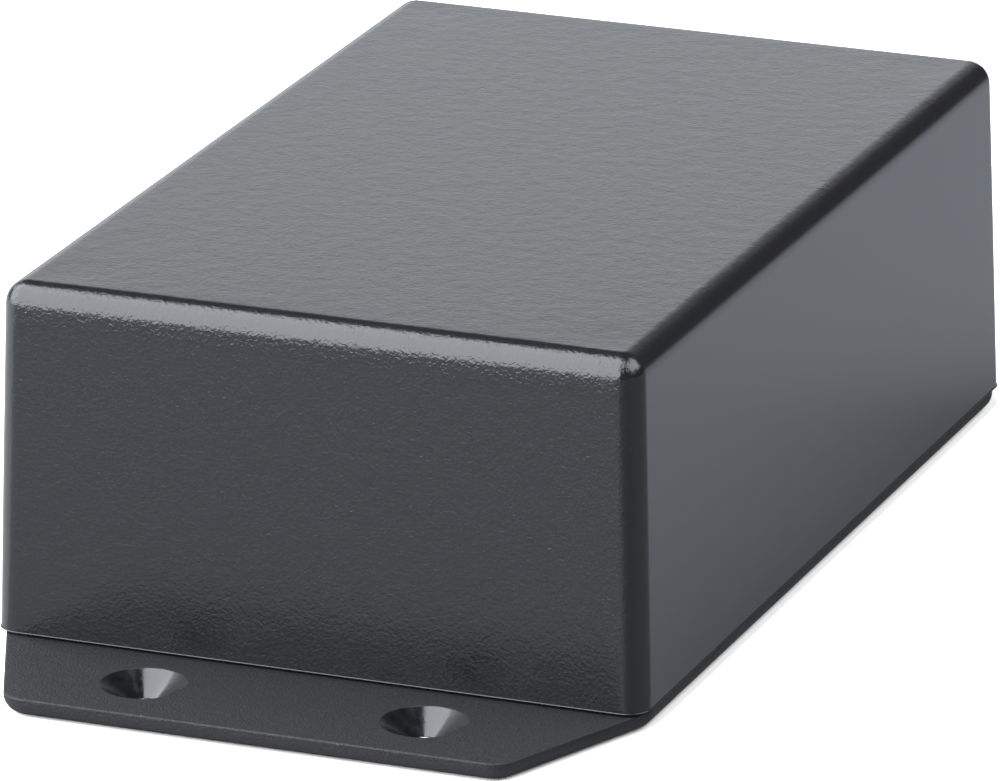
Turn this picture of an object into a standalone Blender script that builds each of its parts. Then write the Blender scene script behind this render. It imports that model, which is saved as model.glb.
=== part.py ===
"""Compact signal booster in a flange-mount moulded case.

A deep drafted case sits mouth down on a flanged base plate. Four countersunk screws come up
through the plate into brass inserts in the case's corner posts. The circuit board hangs from
four standoffs inside the case, with its parts on the underside, and its antenna jacks, power
jack and light pipe reach the rear wall.

Units are metres, +Z up. X runs across the case, Y along it, with the rear wall at +Y. The
origin is the centre of the underside.
"""
import math

import bmesh
import bpy
from mathutils import Matrix, Vector

MM = 0.001

# ---------------------------------------------------------------- driving dimensions
GAP = 0.3 * MM                      # between pieces that touch
OVERSHOOT = 1.0 * MM                # how far a cutter runs past what it cuts
FINE_MERGE = 0.00001

CASE_WIDTH = 80.0 * MM              # at the mouth
CASE_LENGTH = 125.0 * MM            # at the mouth
TOTAL_HEIGHT = 44.55 * MM
CASE_DRAFT = math.radians(1.54)
CASE_WALL = 2.2 * MM
CASE_EDGE_RADIUS = 2.85 * MM

PLATE_THICKNESS = 2.45 * MM
PLATE_INSET = 0.25 * MM             # of the plate's long sides behind the case's
PLATE_EDGE_RADIUS = 2.3 * MM        # round the underside
FLANGE_REACH = 18.75 * MM           # past the case's end walls
FLANGE_ROOT_HALF_WIDTH = 38.3 * MM  # where a flange leaves the end wall
FLANGE_END_HALF_WIDTH = 30.3 * MM
FLANGE_CORNER_RADIUS = 3.2 * MM

FIXING_X = 17.15 * MM               # holes that fix the flanges to a wall or shelf
FIXING_FROM_WALL = 9.0 * MM
FIXING_HOLE_RADIUS = 1.55 * MM
FIXING_SINK_RADIUS = 5.0 * MM
FIXING_SINK_HALF_ANGLE = math.radians(55.2)

TONGUE_CLEARANCE = 0.4 * MM         # between the plate's rim and the case's inner wall
TONGUE_THICKNESS = 1.5 * MM
TONGUE_TOP = 5.2 * MM
TONGUE_CORNER_RADIUS = 1.6 * MM
BOSS_TOP = 5.9 * MM
BOSS_REACH = 7.2 * MM

POST_X = 34.6 * MM
POST_Y = 57.2 * MM
POST_RADIUS = 3.8 * MM
POST_CORNER_REACH = 3.3 * MM
POST_BOTTOM = BOSS_TOP + GAP

LID_SCREW_LENGTH = 12.0 * MM
LID_SCREW_RECESS = 0.25 * MM
LID_SCREW_RADIUS = 1.45 * MM
LID_SCREW_HEAD_RADIUS = 2.85 * MM
LID_SCREW_HEAD_LAND = 0.2 * MM
LID_SCREW_HOLE_RADIUS = 1.8 * MM
LID_SCREW_SINK_RADIUS = 3.25 * MM
LID_SCREW_SINK_LAND = 0.35 * MM
LID_SCREW_POINT = 0.6 * MM
LID_SCREW_SLOT = (1.5 * MM, 0.35 * MM, 1.1 * MM)    # half length, half width, depth
INSERT_LENGTH = 6.0 * MM
INSERT_RADIUS = 2.3 * MM
INSERT_BORE_RADIUS = 1.75 * MM
INSERT_POCKET_RADIUS = 2.6 * MM
INSERT_POCKET_DEPTH = 6.9 * MM
INSERT_RECESS = 0.2 * MM
INSERT_WAIST_DEPTH = 0.25 * MM
INSERT_WAIST_SLOPE = 0.4 * MM

BOARD_BOTTOM = 21.2 * MM
BOARD_THICKNESS = 1.6 * MM
BOARD_HALF_WIDTH = 36.2 * MM
BOARD_HALF_LENGTH = 57.7 * MM
BOARD_NOTCH_X = 30.0 * MM
BOARD_NOTCH_Y = 52.6 * MM
STANDOFF_X = 31.5 * MM
STANDOFF_Y = 43.0 * MM
STANDOFF_RADIUS = 3.25 * MM
STANDOFF_PILOT_RADIUS = 1.35 * MM
BOARD_HOLE_RADIUS = 1.5 * MM
BOARD_SCREW_RADIUS = 1.0 * MM
BOARD_SCREW_HEAD_RADIUS = 2.5 * MM
BOARD_SCREW_HEAD_HEIGHT = 1.7 * MM
BOARD_SCREW_SHANK = 8.0 * MM
BOARD_SCREW_POINT = 0.5 * MM
BOARD_SCREW_CROWN = 0.5 * MM
BOARD_SCREW_SLOT = (1.3 * MM, 0.3 * MM, 1.0 * MM)

JACK_X = 26.5 * MM
JACK_THREAD_RADIUS = 3.175 * MM
JACK_BORE_RADIUS = 2.35 * MM
JACK_TIP_Y = 72.0 * MM
JACK_CONTACT_RADIUS = 0.6 * MM
JACK_CONTACT_TIP_RADIUS = 0.4 * MM
JACK_CONTACT_RECESS = 1.2 * MM      # behind the jack's tip
JACK_INSULATOR_RECESS = 1.6 * MM
JACK_TIP_CHAMFER = 0.4 * MM
JACK_BLOCK_HALF = 3.4 * MM
JACK_BLOCK_RISE = 1.6 * MM          # above the board
JACK_LEG_X = 2.6 * MM
JACK_LEG_HALF = 0.6 * MM
JACK_LEG_REACH = 4.0 * MM
JACK_TAIL_REACH = 3.5 * MM
WASHER_RADIUS = 4.6 * MM
WASHER_THICKNESS = 0.6 * MM
NUT_CORNER_RADIUS = 4.62 * MM
NUT_THICKNESS = 2.2 * MM
NUT_CHAMFER = 0.35 * MM
POWER_JACK_SIZE = Vector((9.0, 14.0, 11.0)) * MM
POWER_JACK_COLLAR_RADIUS = 4.0 * MM
POWER_JACK_BORE_RADIUS = 3.1 * MM
POWER_JACK_SOCKET_DEPTH = 9.5 * MM
POWER_JACK_AXIS_RISE = 4.5 * MM     # of the socket's axis over the housing's underside
POWER_PIN_RADIUS = 1.05 * MM
POWER_PIN_RECESS = 1.0 * MM
LAMP_X = 10.5 * MM
LAMP_RADIUS = 1.5 * MM
LAMP_AXIS_DROP = 2.2 * MM           # below the board
LAMP_HALF_WIDTH = 1.7 * MM
LAMP_HEIGHT = 4.0 * MM
LAMP_DEPTH = 2.4 * MM
PIPE_FLANGE_RADIUS = 2.1 * MM
PIPE_FLANGE_THICKNESS = 0.7 * MM

SHIELD_CENTRE = Vector((20.5, 6.0)) * MM
SHIELD_SIZE = Vector((25.0, 36.0)) * MM
SHIELD_HEIGHT = 4.2 * MM
SHIELD_SHEET = 0.5 * MM
SHIELD_LIP_REACH = 1.4 * MM
AMPLIFIER_SPACING = 9.0 * MM        # each side of a shield's middle

DUPLEXER_X = 20.0 * MM
DUPLEXER_Y = 41.0 * MM
PROCESSOR_Y = -30.0 * MM
OSCILLATOR_X = -17.0 * MM
REGULATOR_Y = 25.0 * MM
INDUCTOR_Y = 36.0 * MM
INPUT_CAPACITOR_Y = 14.0 * MM
OUTPUT_CAPACITOR_Y = 3.0 * MM
CAPACITOR_HEIGHT = 9.5 * MM
CAPACITOR_RADIUS = 4.0 * MM
CAPACITOR_FOOT = 1.0 * MM
CAPACITOR_GROOVE = 0.35 * MM

# ---------------------------------------------------------------- worked-out places
CASE_BOTTOM = PLATE_THICKNESS + GAP
CASE_HALF_X = CASE_WIDTH / 2
CASE_HALF_Y = CASE_LENGTH / 2
CASE_CEILING = TOTAL_HEIGHT - CASE_WALL
BOARD_TOP = BOARD_BOTTOM + BOARD_THICKNESS
PART_CEILING = BOARD_BOTTOM - GAP   # board parts hang from here
JACK_Z = PART_CEILING - JACK_CONTACT_RADIUS
POWER_Z = PART_CEILING - POWER_JACK_SIZE.z + POWER_JACK_AXIS_RISE
LAMP_Z = PART_CEILING - LAMP_AXIS_DROP
CORNERS = {"front_left": (-1, -1), "front_right": (1, -1),
           "rear_left": (-1, 1), "rear_right": (1, 1)}
SIDES = {"donor": -1, "server": 1}  # outdoor antenna's side and indoor antenna's side
PATHS = {"uplink": -1, "downlink": 1}


def case_inset(z):
    """How far the draft has brought the case's outer walls in at height z."""
    return (z - CASE_BOTTOM) * math.tan(CASE_DRAFT)


def rear_wall_outer(z):
    return CASE_HALF_Y - case_inset(z)


def rear_wall_inner(z):
    return rear_wall_outer(z) - CASE_WALL / math.cos(CASE_DRAFT)


# ---------------------------------------------------------------- scene and materials
def clear_scene():
    for old in list(bpy.data.objects):
        bpy.data.objects.remove(old, do_unlink=True)


def new_collection(name, parent=None):
    collection = bpy.data.collections.new(name)
    (parent or bpy.context.scene.collection).children.link(collection)
    return collection


def material(name, colour, roughness, metallic=0.0):
    made = bpy.data.materials.new(name)
    made.use_nodes = True
    shader = made.node_tree.nodes["Principled BSDF"]
    shader.inputs["Base Color"].default_value = (*colour, 1.0)
    shader.inputs["Roughness"].default_value = roughness
    shader.inputs["Metallic"].default_value = metallic
    return made


clear_scene()
PARTS = new_collection("signal_booster")
CUTTERS = new_collection("cutters")

BLACK_ABS = material("black_abs", (0.022, 0.023, 0.025), 0.42)
ZINC_STEEL = material("zinc_steel", (0.55, 0.55, 0.56), 0.35, 1.0)
BRASS = material("brass", (0.72, 0.52, 0.24), 0.32, 1.0)
SOLDER_MASK = material("solder_mask", (0.012, 0.10, 0.045), 0.4)
TINPLATE = material("tinplate", (0.62, 0.62, 0.60), 0.3, 1.0)
CERAMIC = material("silvered_ceramic", (0.60, 0.59, 0.56), 0.45, 0.6)
CHIP_EPOXY = material("chip_epoxy", (0.02, 0.02, 0.022), 0.5)
FERRITE = material("ferrite", (0.05, 0.05, 0.055), 0.7)
CAN_ALUMINIUM = material("can_aluminium", (0.75, 0.75, 0.76), 0.3, 1.0)
GOLD = material("gold_plate", (0.85, 0.60, 0.22), 0.25, 1.0)
PTFE = material("ptfe", (0.85, 0.85, 0.82), 0.5)
JACK_PLASTIC = material("jack_plastic", (0.015, 0.015, 0.016), 0.38)
CLEAR_ACRYLIC = material("clear_acrylic", (0.80, 0.84, 0.86), 0.08)
LAMP_GREEN = material("lamp_green", (0.10, 0.55, 0.18), 0.2)


# ---------------------------------------------------------------- building blocks
def add(name, mesh, look=None):
    """Link a mesh as a named part, or as a hidden cutter when it has no material."""
    made = bpy.data.objects.new(name, mesh)
    if look is None:
        CUTTERS.objects.link(made)
        made.hide_render = True
        made.display_type = "WIRE"
    else:
        PARTS.objects.link(made)
        mesh.materials.append(look)
    return made


def mesh_from(name, bm):
    mesh = bpy.data.meshes.new(name)
    bm.to_mesh(mesh)
    bm.free()
    return mesh


def box(name, low, high, look=None, chamfer=0.0):
    """A box between two corners, its origin at its centre."""
    low, high = Vector(low), Vector(high)
    bm = bmesh.new()
    bmesh.ops.create_cube(bm, size=1.0, matrix=Matrix.Diagonal((*(high - low), 1.0)))
    if chamfer:
        bmesh.ops.bevel(bm, geom=bm.edges[:], offset=chamfer, segments=1, affect="EDGES")
    made = add(name, mesh_from(name, bm), look)
    made.location = (low + high) / 2
    return made


def hanging_box(name, x, y, size, look, chamfer=0.0):
    """A board part: a box that hangs from the board's underside."""
    size = Vector(size) * MM
    low = Vector((x - size.x / 2, y - size.y / 2, PART_CEILING - size.z))
    high = Vector((x + size.x / 2, y + size.y / 2, PART_CEILING))
    return box(name, low, high, look, chamfer)


def turned(name, profile, place, look=None, steps=32, along_y=False):
    """Turn a profile of (radius, height), listed down its outer side, about an upright axis."""
    bm = bmesh.new()
    points = [bm.verts.new((radius, 0.0, height)) for radius, height in profile]
    for first, second in zip(points, points[1:]):
        bm.edges.new((first, second))
    if profile[0][0] > 0.0:
        bm.edges.new((points[-1], points[0]))
    made = add(name, mesh_from(name, bm), look)
    made.location = place
    if along_y:
        made.rotation_euler.x = -math.pi / 2
    screw = made.modifiers.new("turn", "SCREW")
    screw.steps = screw.render_steps = steps
    screw.use_merge_vertices = True
    screw.merge_threshold = FINE_MERGE
    screw.use_smooth_shade = False
    return made


def cylinder(name, radius, bottom, top, centre, look=None, steps=32):
    profile = [(0.0, top), (radius, top), (radius, bottom), (0.0, bottom)]
    return turned(name, profile, (*centre, 0.0), look, steps)


def rear_cylinder(name, radius, start, end, x, z, look=None, steps=32):
    """A cylinder along Y between two places."""
    profile = [(0.0, end), (radius, end), (radius, start), (0.0, start)]
    return turned(name, profile, (x, 0.0, z), look, steps, along_y=True)


def rounded_outline(corners, radii, segments=5):
    """Replace each corner of a convex outline with an arc that touches both its edges."""
    outline = []
    for i, corner in enumerate(corners):
        here = Vector(corner)
        back = (Vector(corners[i - 1]) - here).normalized()
        ahead = (Vector(corners[(i + 1) % len(corners)]) - here).normalized()
        half_angle = back.angle(ahead) / 2
        centre = here + (back + ahead).normalized() * radii[i] / math.sin(half_angle)
        start = here + back * radii[i] / math.tan(half_angle) - centre
        sweep = math.pi - 2 * half_angle
        for step in range(segments + 1):
            turn = Matrix.Rotation(sweep * step / segments, 2)
            outline.append(centre + turn @ start)
    return outline


def rectangle(half_x, half_y, centre=(0.0, 0.0)):
    x, y = centre
    return [(x - half_x, y - half_y), (x + half_x, y - half_y),
            (x + half_x, y + half_y), (x - half_x, y + half_y)]


def flat(name, outlines, bottom, top, look=None):
    """A flat piece from closed outlines, the second and later ones being its holes."""
    curve = bpy.data.curves.new(name, "CURVE")
    curve.dimensions = "2D"
    curve.fill_mode = "BOTH"
    curve.extrude = (top - bottom) / 2
    for outline in outlines:
        spline = curve.splines.new("POLY")
        spline.points.add(len(outline) - 1)
        for point, (x, y) in zip(spline.points, outline):
            point.co = (x, y, 0.0, 1.0)
        spline.use_cyclic_u = True
    drawn = bpy.data.objects.new(name + "_outline", curve)
    CUTTERS.objects.link(drawn)
    drawn.location.z = (bottom + top) / 2
    bpy.context.view_layer.update()
    evaluated = drawn.evaluated_get(bpy.context.evaluated_depsgraph_get())
    mesh = bpy.data.meshes.new_from_object(evaluated)
    mesh.name = name
    place = drawn.matrix_world.copy()
    bpy.data.objects.remove(drawn, do_unlink=True)
    bm = bmesh.new()
    bm.from_mesh(mesh)
    bmesh.ops.remove_doubles(bm, verts=bm.verts[:], dist=FINE_MERGE)
    bmesh.ops.dissolve_limit(bm, angle_limit=math.radians(0.5), verts=bm.verts[:],
                             edges=bm.edges[:])
    bmesh.ops.recalc_face_normals(bm, faces=bm.faces[:])
    bm.to_mesh(mesh)
    bm.free()
    mesh.materials.clear()
    made = add(name, mesh, look)
    made.matrix_world = place
    return made


def combine(target, tools, operation):
    """Join helper shapes to a part, or cut them out of it, one after another."""
    for tool in tools:
        modifier = target.modifiers.new(tool.name, "BOOLEAN")
        modifier.operation = operation
        modifier.solver = "EXACT"
        modifier.object = tool


def cross_recess(name, centre, head_face, slot):
    """The two crossing slots of a driver recess in a head that faces down."""
    x, y = centre
    reach, width, depth = slot
    return [box(f"{name}_{tag}", (x - a, y - b, head_face - OVERSHOOT),
                (x + a, y + b, head_face + depth))
            for tag, a, b in (("slot_x", reach, width), ("slot_y", width, reach))]


# ---------------------------------------------------------------- base plate
def plate_outline():
    """The plate's plan: straight under the case, then tapering along each flange."""
    side_x = CASE_HALF_X - PLATE_INSET
    end_y = CASE_HALF_Y + FLANGE_REACH
    taper = (FLANGE_ROOT_HALF_WIDTH - FLANGE_END_HALF_WIDTH) / FLANGE_REACH
    shoulder_y = CASE_HALF_Y - (side_x - FLANGE_ROOT_HALF_WIDTH) / taper
    quarter = [(FLANGE_END_HALF_WIDTH, -end_y), (side_x, -shoulder_y)]
    right = quarter + [(x, -y) for x, y in reversed(quarter)]
    left = [(-x, -y) for x, y in right]
    return rounded_outline(right + left, [FLANGE_CORNER_RADIUS] * 8)


def round_underside(plate, radius):
    """Round the outline's bottom edge."""
    bm = bmesh.new()
    bm.from_mesh(plate.data)
    lowest = min(vert.co.z for vert in bm.verts)
    edges = [edge for edge in bm.edges
             if all(abs(vert.co.z - lowest) < FINE_MERGE for vert in edge.verts)
             and edge.calc_face_angle() > math.radians(45)]
    bmesh.ops.bevel(bm, geom=edges, offset=radius, segments=3, profile=0.5, affect="EDGES")
    bm.to_mesh(plate.data)
    bm.free()


def tongue():
    """The low rim that locates the case's mouth."""
    half_x = CASE_HALF_X - CASE_WALL - TONGUE_CLEARANCE
    half_y = CASE_HALF_Y - CASE_WALL - TONGUE_CLEARANCE
    outer = rounded_outline(rectangle(half_x, half_y), [TONGUE_CORNER_RADIUS] * 4, segments=3)
    inner = rectangle(half_x - TONGUE_THICKNESS, half_y - TONGUE_THICKNESS)
    return flat("tongue", [outer, inner], PLATE_THICKNESS - OVERSHOOT / 2, TONGUE_TOP)


def screw_boss(tag, side_x, side_y):
    outer_x = CASE_HALF_X - CASE_WALL - TONGUE_CLEARANCE - GAP
    outer_y = CASE_HALF_Y - CASE_WALL - TONGUE_CLEARANCE - GAP
    xs = sorted((side_x * outer_x, side_x * (outer_x - BOSS_REACH)))
    ys = sorted((side_y * outer_y, side_y * (outer_y - BOSS_REACH)))
    return box(f"boss_{tag}", (xs[0], ys[0], PLATE_THICKNESS - OVERSHOOT / 2),
               (xs[1], ys[1], BOSS_TOP))


def lid_screw_hole(tag, side_x, side_y):
    """A through hole with a countersink in the plate's underside."""
    sink_top = LID_SCREW_SINK_LAND + LID_SCREW_SINK_RADIUS - LID_SCREW_HOLE_RADIUS
    profile = [(0.0, BOSS_TOP + OVERSHOOT), (LID_SCREW_HOLE_RADIUS, BOSS_TOP + OVERSHOOT),
               (LID_SCREW_HOLE_RADIUS, sink_top), (LID_SCREW_SINK_RADIUS, LID_SCREW_SINK_LAND),
               (LID_SCREW_SINK_RADIUS, -OVERSHOOT), (0.0, -OVERSHOOT)]
    return turned(f"lid_screw_hole_{tag}", profile, (side_x * POST_X, side_y * POST_Y, 0.0),
                  steps=20)


def fixing_hole(tag, side_x, side_y):
    """A through hole in a flange, countersunk from above."""
    slope = math.tan(FIXING_SINK_HALF_ANGLE)
    sink_bottom = PLATE_THICKNESS - (FIXING_SINK_RADIUS - FIXING_HOLE_RADIUS) / slope
    top = PLATE_THICKNESS + OVERSHOOT
    top_radius = FIXING_SINK_RADIUS + OVERSHOOT * slope
    profile = [(0.0, top), (top_radius, top), (FIXING_HOLE_RADIUS, sink_bottom),
               (FIXING_HOLE_RADIUS, -OVERSHOOT), (0.0, -OVERSHOOT)]
    place = (side_x * FIXING_X, side_y * (CASE_HALF_Y + FIXING_FROM_WALL), 0.0)
    return turned(f"fixing_hole_{tag}", profile, place)


def make_base():
    plate = flat("flanged_base", [plate_outline()], 0.0, PLATE_THICKNESS, BLACK_ABS)
    round_underside(plate, PLATE_EDGE_RADIUS)
    combine(plate, [tongue()] + [screw_boss(tag, *at) for tag, at in CORNERS.items()], "UNION")
    combine(plate, [lid_screw_hole(tag, *at) for tag, at in CORNERS.items()]
            + [fixing_hole(tag, *at) for tag, at in CORNERS.items()], "DIFFERENCE")


# ---------------------------------------------------------------- case
def drafted_skin():
    """The case's outer skin, open at the bottom and a little deeper than the case."""
    bottom = CASE_BOTTOM - OVERSHOOT
    bm = bmesh.new()
    bmesh.ops.create_cube(bm, size=2.0)
    for vert in bm.verts:
        z = TOTAL_HEIGHT if vert.co.z > 0 else bottom
        vert.co = Vector((vert.co.x * (CASE_HALF_X - case_inset(z)),
                          vert.co.y * (CASE_HALF_Y - case_inset(z)), z))
    mouth = [face for face in bm.faces if face.normal.z < -0.9]
    bmesh.ops.delete(bm, geom=mouth, context="FACES_ONLY")
    skin = add("case_shell", mesh_from("case_shell", bm), BLACK_ABS)
    rounding = skin.modifiers.new("edge_rounding", "BEVEL")
    rounding.width = CASE_EDGE_RADIUS
    rounding.segments = 5
    rounding.limit_method = "ANGLE"
    wall = skin.modifiers.new("wall", "SOLIDIFY")
    wall.thickness = CASE_WALL
    wall.offset = -1.0
    wall.use_even_offset = True
    wall.use_quality_normals = True
    return skin


def corner_post(tag, side_x, side_y):
    """A post for a lid screw's insert, filled out into the case's corner."""
    top = CASE_CEILING + 0.1 * MM
    post = cylinder(f"post_{tag}", POST_RADIUS, POST_BOTTOM, top,
                    (side_x * POST_X, side_y * POST_Y), steps=20)
    xs = sorted((side_x * POST_X, side_x * (POST_X + POST_CORNER_REACH)))
    ys = sorted((side_y * POST_Y, side_y * (POST_Y + POST_CORNER_REACH)))
    web = box(f"post_web_{tag}", (xs[0], ys[0], POST_BOTTOM + GAP), (xs[1], ys[1], top))
    return [post, web]


def standoff(tag, side_x, side_y):
    return cylinder(f"standoff_{tag}", STANDOFF_RADIUS, BOARD_TOP + GAP,
                    CASE_CEILING + OVERSHOOT, (side_x * STANDOFF_X, side_y * STANDOFF_Y),
                    steps=16)


def insert_pocket(tag, side_x, side_y):
    return cylinder(f"insert_pocket_{tag}", INSERT_POCKET_RADIUS, POST_BOTTOM - OVERSHOOT,
                    POST_BOTTOM + INSERT_POCKET_DEPTH, (side_x * POST_X, side_y * POST_Y), steps=20)


def pilot_hole(tag, side_x, side_y):
    return cylinder(f"pilot_hole_{tag}", STANDOFF_PILOT_RADIUS, BOARD_TOP - OVERSHOOT,
                    BOARD_TOP + BOARD_SCREW_SHANK, (side_x * STANDOFF_X, side_y * STANDOFF_Y),
                    steps=16)


def make_case():
    shell = drafted_skin()
    below = box("mouth_trim", (-CASE_WIDTH, -CASE_LENGTH, -20 * MM),
                (CASE_WIDTH, CASE_LENGTH, CASE_BOTTOM))
    combine(shell, [below], "DIFFERENCE")
    for tag, at in CORNERS.items():
        combine(shell, corner_post(tag, *at) + [standoff(tag, *at)], "UNION")
    for tag, at in CORNERS.items():
        combine(shell, [insert_pocket(tag, *at), pilot_hole(tag, *at)], "DIFFERENCE")
    inside = CASE_HALF_Y - 6.0 * MM
    outside = CASE_HALF_Y + OVERSHOOT
    wall_holes = [rear_cylinder(f"jack_hole_{tag}", JACK_THREAD_RADIUS + GAP, inside, outside,
                                side * JACK_X, JACK_Z, steps=24)
                  for tag, side in SIDES.items()]
    wall_holes.append(rear_cylinder("power_hole", POWER_JACK_COLLAR_RADIUS + GAP, inside,
                                    outside, 0.0, POWER_Z, steps=24))
    wall_holes.append(rear_cylinder("lamp_hole", LAMP_RADIUS + GAP, inside, outside,
                                    LAMP_X, LAMP_Z, steps=16))
    combine(shell, wall_holes, "DIFFERENCE")


# ---------------------------------------------------------------- lid screws and inserts
def make_lid_screw(tag, side_x, side_y):
    """A countersunk screw driven up through the plate, its origin on its axis."""
    base = LID_SCREW_RECESS
    cone_top = base + LID_SCREW_HEAD_LAND + LID_SCREW_HEAD_RADIUS - LID_SCREW_RADIUS
    tip = base + LID_SCREW_LENGTH
    profile = [(0.0, tip), (LID_SCREW_RADIUS - LID_SCREW_POINT, tip),
               (LID_SCREW_RADIUS, tip - LID_SCREW_POINT),
               (LID_SCREW_RADIUS, cone_top), (LID_SCREW_HEAD_RADIUS, base + LID_SCREW_HEAD_LAND),
               (LID_SCREW_HEAD_RADIUS, base), (0.0, base)]
    centre = (side_x * POST_X, side_y * POST_Y)
    name = f"lid_screw_{tag}"
    screw = turned(name, profile, (*centre, 0.0), ZINC_STEEL, steps=16)
    combine(screw, cross_recess(name, centre, base, LID_SCREW_SLOT), "DIFFERENCE")


def make_insert(tag, side_x, side_y):
    """A brass insert with a waist that keys it into its post."""
    bottom = POST_BOTTOM + INSERT_RECESS
    top = bottom + INSERT_LENGTH
    waist = INSERT_RADIUS - INSERT_WAIST_DEPTH
    third = INSERT_LENGTH / 3
    profile = [(INSERT_RADIUS, top), (INSERT_RADIUS, top - third + INSERT_WAIST_SLOPE),
               (waist, top - third), (waist, bottom + third),
               (INSERT_RADIUS, bottom + third - INSERT_WAIST_SLOPE), (INSERT_RADIUS, bottom),
               (INSERT_BORE_RADIUS, bottom), (INSERT_BORE_RADIUS, top)]
    turned(f"thread_insert_{tag}", profile, (side_x * POST_X, side_y * POST_Y, 0.0), BRASS,
           steps=16)


# ---------------------------------------------------------------- circuit board
def board_notch(tag, side_x, side_y):
    """A square notch that clears one of the case's corner posts."""
    xs = sorted((side_x * BOARD_NOTCH_X, side_x * (BOARD_HALF_WIDTH + OVERSHOOT)))
    ys = sorted((side_y * BOARD_NOTCH_Y, side_y * (BOARD_HALF_LENGTH + OVERSHOOT)))
    return box(f"board_notch_{tag}", (xs[0], ys[0], BOARD_BOTTOM - OVERSHOOT),
               (xs[1], ys[1], BOARD_TOP + OVERSHOOT))


def make_board():
    outline = rectangle(BOARD_HALF_WIDTH, BOARD_HALF_LENGTH)
    board = flat("circuit_board", [outline], BOARD_BOTTOM, BOARD_TOP, SOLDER_MASK)
    for tag, (side_x, side_y) in CORNERS.items():
        hole = cylinder(f"board_hole_{tag}", BOARD_HOLE_RADIUS, BOARD_BOTTOM - OVERSHOOT,
                        BOARD_TOP + OVERSHOOT, (side_x * STANDOFF_X, side_y * STANDOFF_Y),
                        steps=14)
        combine(board, [board_notch(tag, side_x, side_y), hole], "DIFFERENCE")


def make_board_screw(tag, side_x, side_y):
    """A pan-head screw driven up through the board into its standoff."""
    seat = PART_CEILING
    base = seat - BOARD_SCREW_HEAD_HEIGHT
    tip = seat + BOARD_SCREW_SHANK
    profile = [(0.0, tip), (BOARD_SCREW_RADIUS - BOARD_SCREW_POINT, tip),
               (BOARD_SCREW_RADIUS, tip - BOARD_SCREW_POINT),
               (BOARD_SCREW_RADIUS, seat), (BOARD_SCREW_HEAD_RADIUS, seat),
               (BOARD_SCREW_HEAD_RADIUS, base + BOARD_SCREW_CROWN),
               (BOARD_SCREW_HEAD_RADIUS - BOARD_SCREW_CROWN, base), (0.0, base)]
    centre = (side_x * STANDOFF_X, side_y * STANDOFF_Y)
    name = f"board_screw_{tag}"
    screw = turned(name, profile, (*centre, 0.0), ZINC_STEEL, steps=14)
    combine(screw, cross_recess(name, centre, base, BOARD_SCREW_SLOT), "DIFFERENCE")


def make_shield(path, side):
    """A soldered frame round one amplifier path, with a lid that snaps over it."""
    centre = (side * SHIELD_CENTRE.x, SHIELD_CENTRE.y)
    half = SHIELD_SIZE / 2
    lid_reach = SHIELD_SHEET + GAP
    frame_half = (half.x - lid_reach, half.y - lid_reach)
    ring = flat(f"{path}_shield_frame",
                [rectangle(*frame_half, centre),
                 rectangle(frame_half[0] - SHIELD_SHEET, frame_half[1] - SHIELD_SHEET, centre)],
                PART_CEILING - SHIELD_HEIGHT + lid_reach, PART_CEILING, TINPLATE)
    lipped = flat(f"{path}_shield_lip",
                  [rectangle(frame_half[0] - 0.1 * MM, frame_half[1] - 0.1 * MM, centre),
                   rectangle(frame_half[0] - SHIELD_LIP_REACH,
                             frame_half[1] - SHIELD_LIP_REACH, centre)],
                  PART_CEILING - SHIELD_HEIGHT + lid_reach + 0.05 * MM,
                  PART_CEILING - SHIELD_HEIGHT + lid_reach + 0.45 * MM)
    combine(ring, [lipped], "UNION")
    low = (centre[0] - half.x, centre[1] - half.y, PART_CEILING - SHIELD_HEIGHT)
    high = (centre[0] + half.x, centre[1] + half.y, PART_CEILING - GAP)
    lid = box(f"{path}_shield_lid", low, high, TINPLATE)
    bm = bmesh.new()
    bm.from_mesh(lid.data)
    open_side = [face for face in bm.faces if face.normal.z > 0.9]
    bmesh.ops.delete(bm, geom=open_side, context="FACES_ONLY")
    bm.to_mesh(lid.data)
    bm.free()
    sheet = lid.modifiers.new("sheet", "SOLIDIFY")
    sheet.thickness = SHIELD_SHEET
    sheet.offset = -1.0
    sheet.use_even_offset = True


def make_capacitor(tag, x, y):
    """A can capacitor: a square foot with a grooved aluminium can under it."""
    radius = CAPACITOR_RADIUS
    top = PART_CEILING - CAPACITOR_FOOT + 0.05 * MM
    bottom = PART_CEILING - CAPACITOR_HEIGHT
    groove = bottom + 0.75 * (CAPACITOR_HEIGHT - CAPACITOR_FOOT)
    depth = CAPACITOR_GROOVE
    profile = [(0.0, top), (radius, top), (radius, groove + depth), (radius - depth, groove),
               (radius, groove - depth), (radius, bottom + depth), (radius - depth, bottom),
               (0.0, bottom)]
    name = f"storage_capacitor_{tag}"
    can = turned(name, profile, (x, y, 0.0), CAN_ALUMINIUM, steps=20)
    base = hanging_box(f"{name}_foot", x, y, (8.3, 8.3, 1.0), None)
    combine(can, [base], "UNION")


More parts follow.
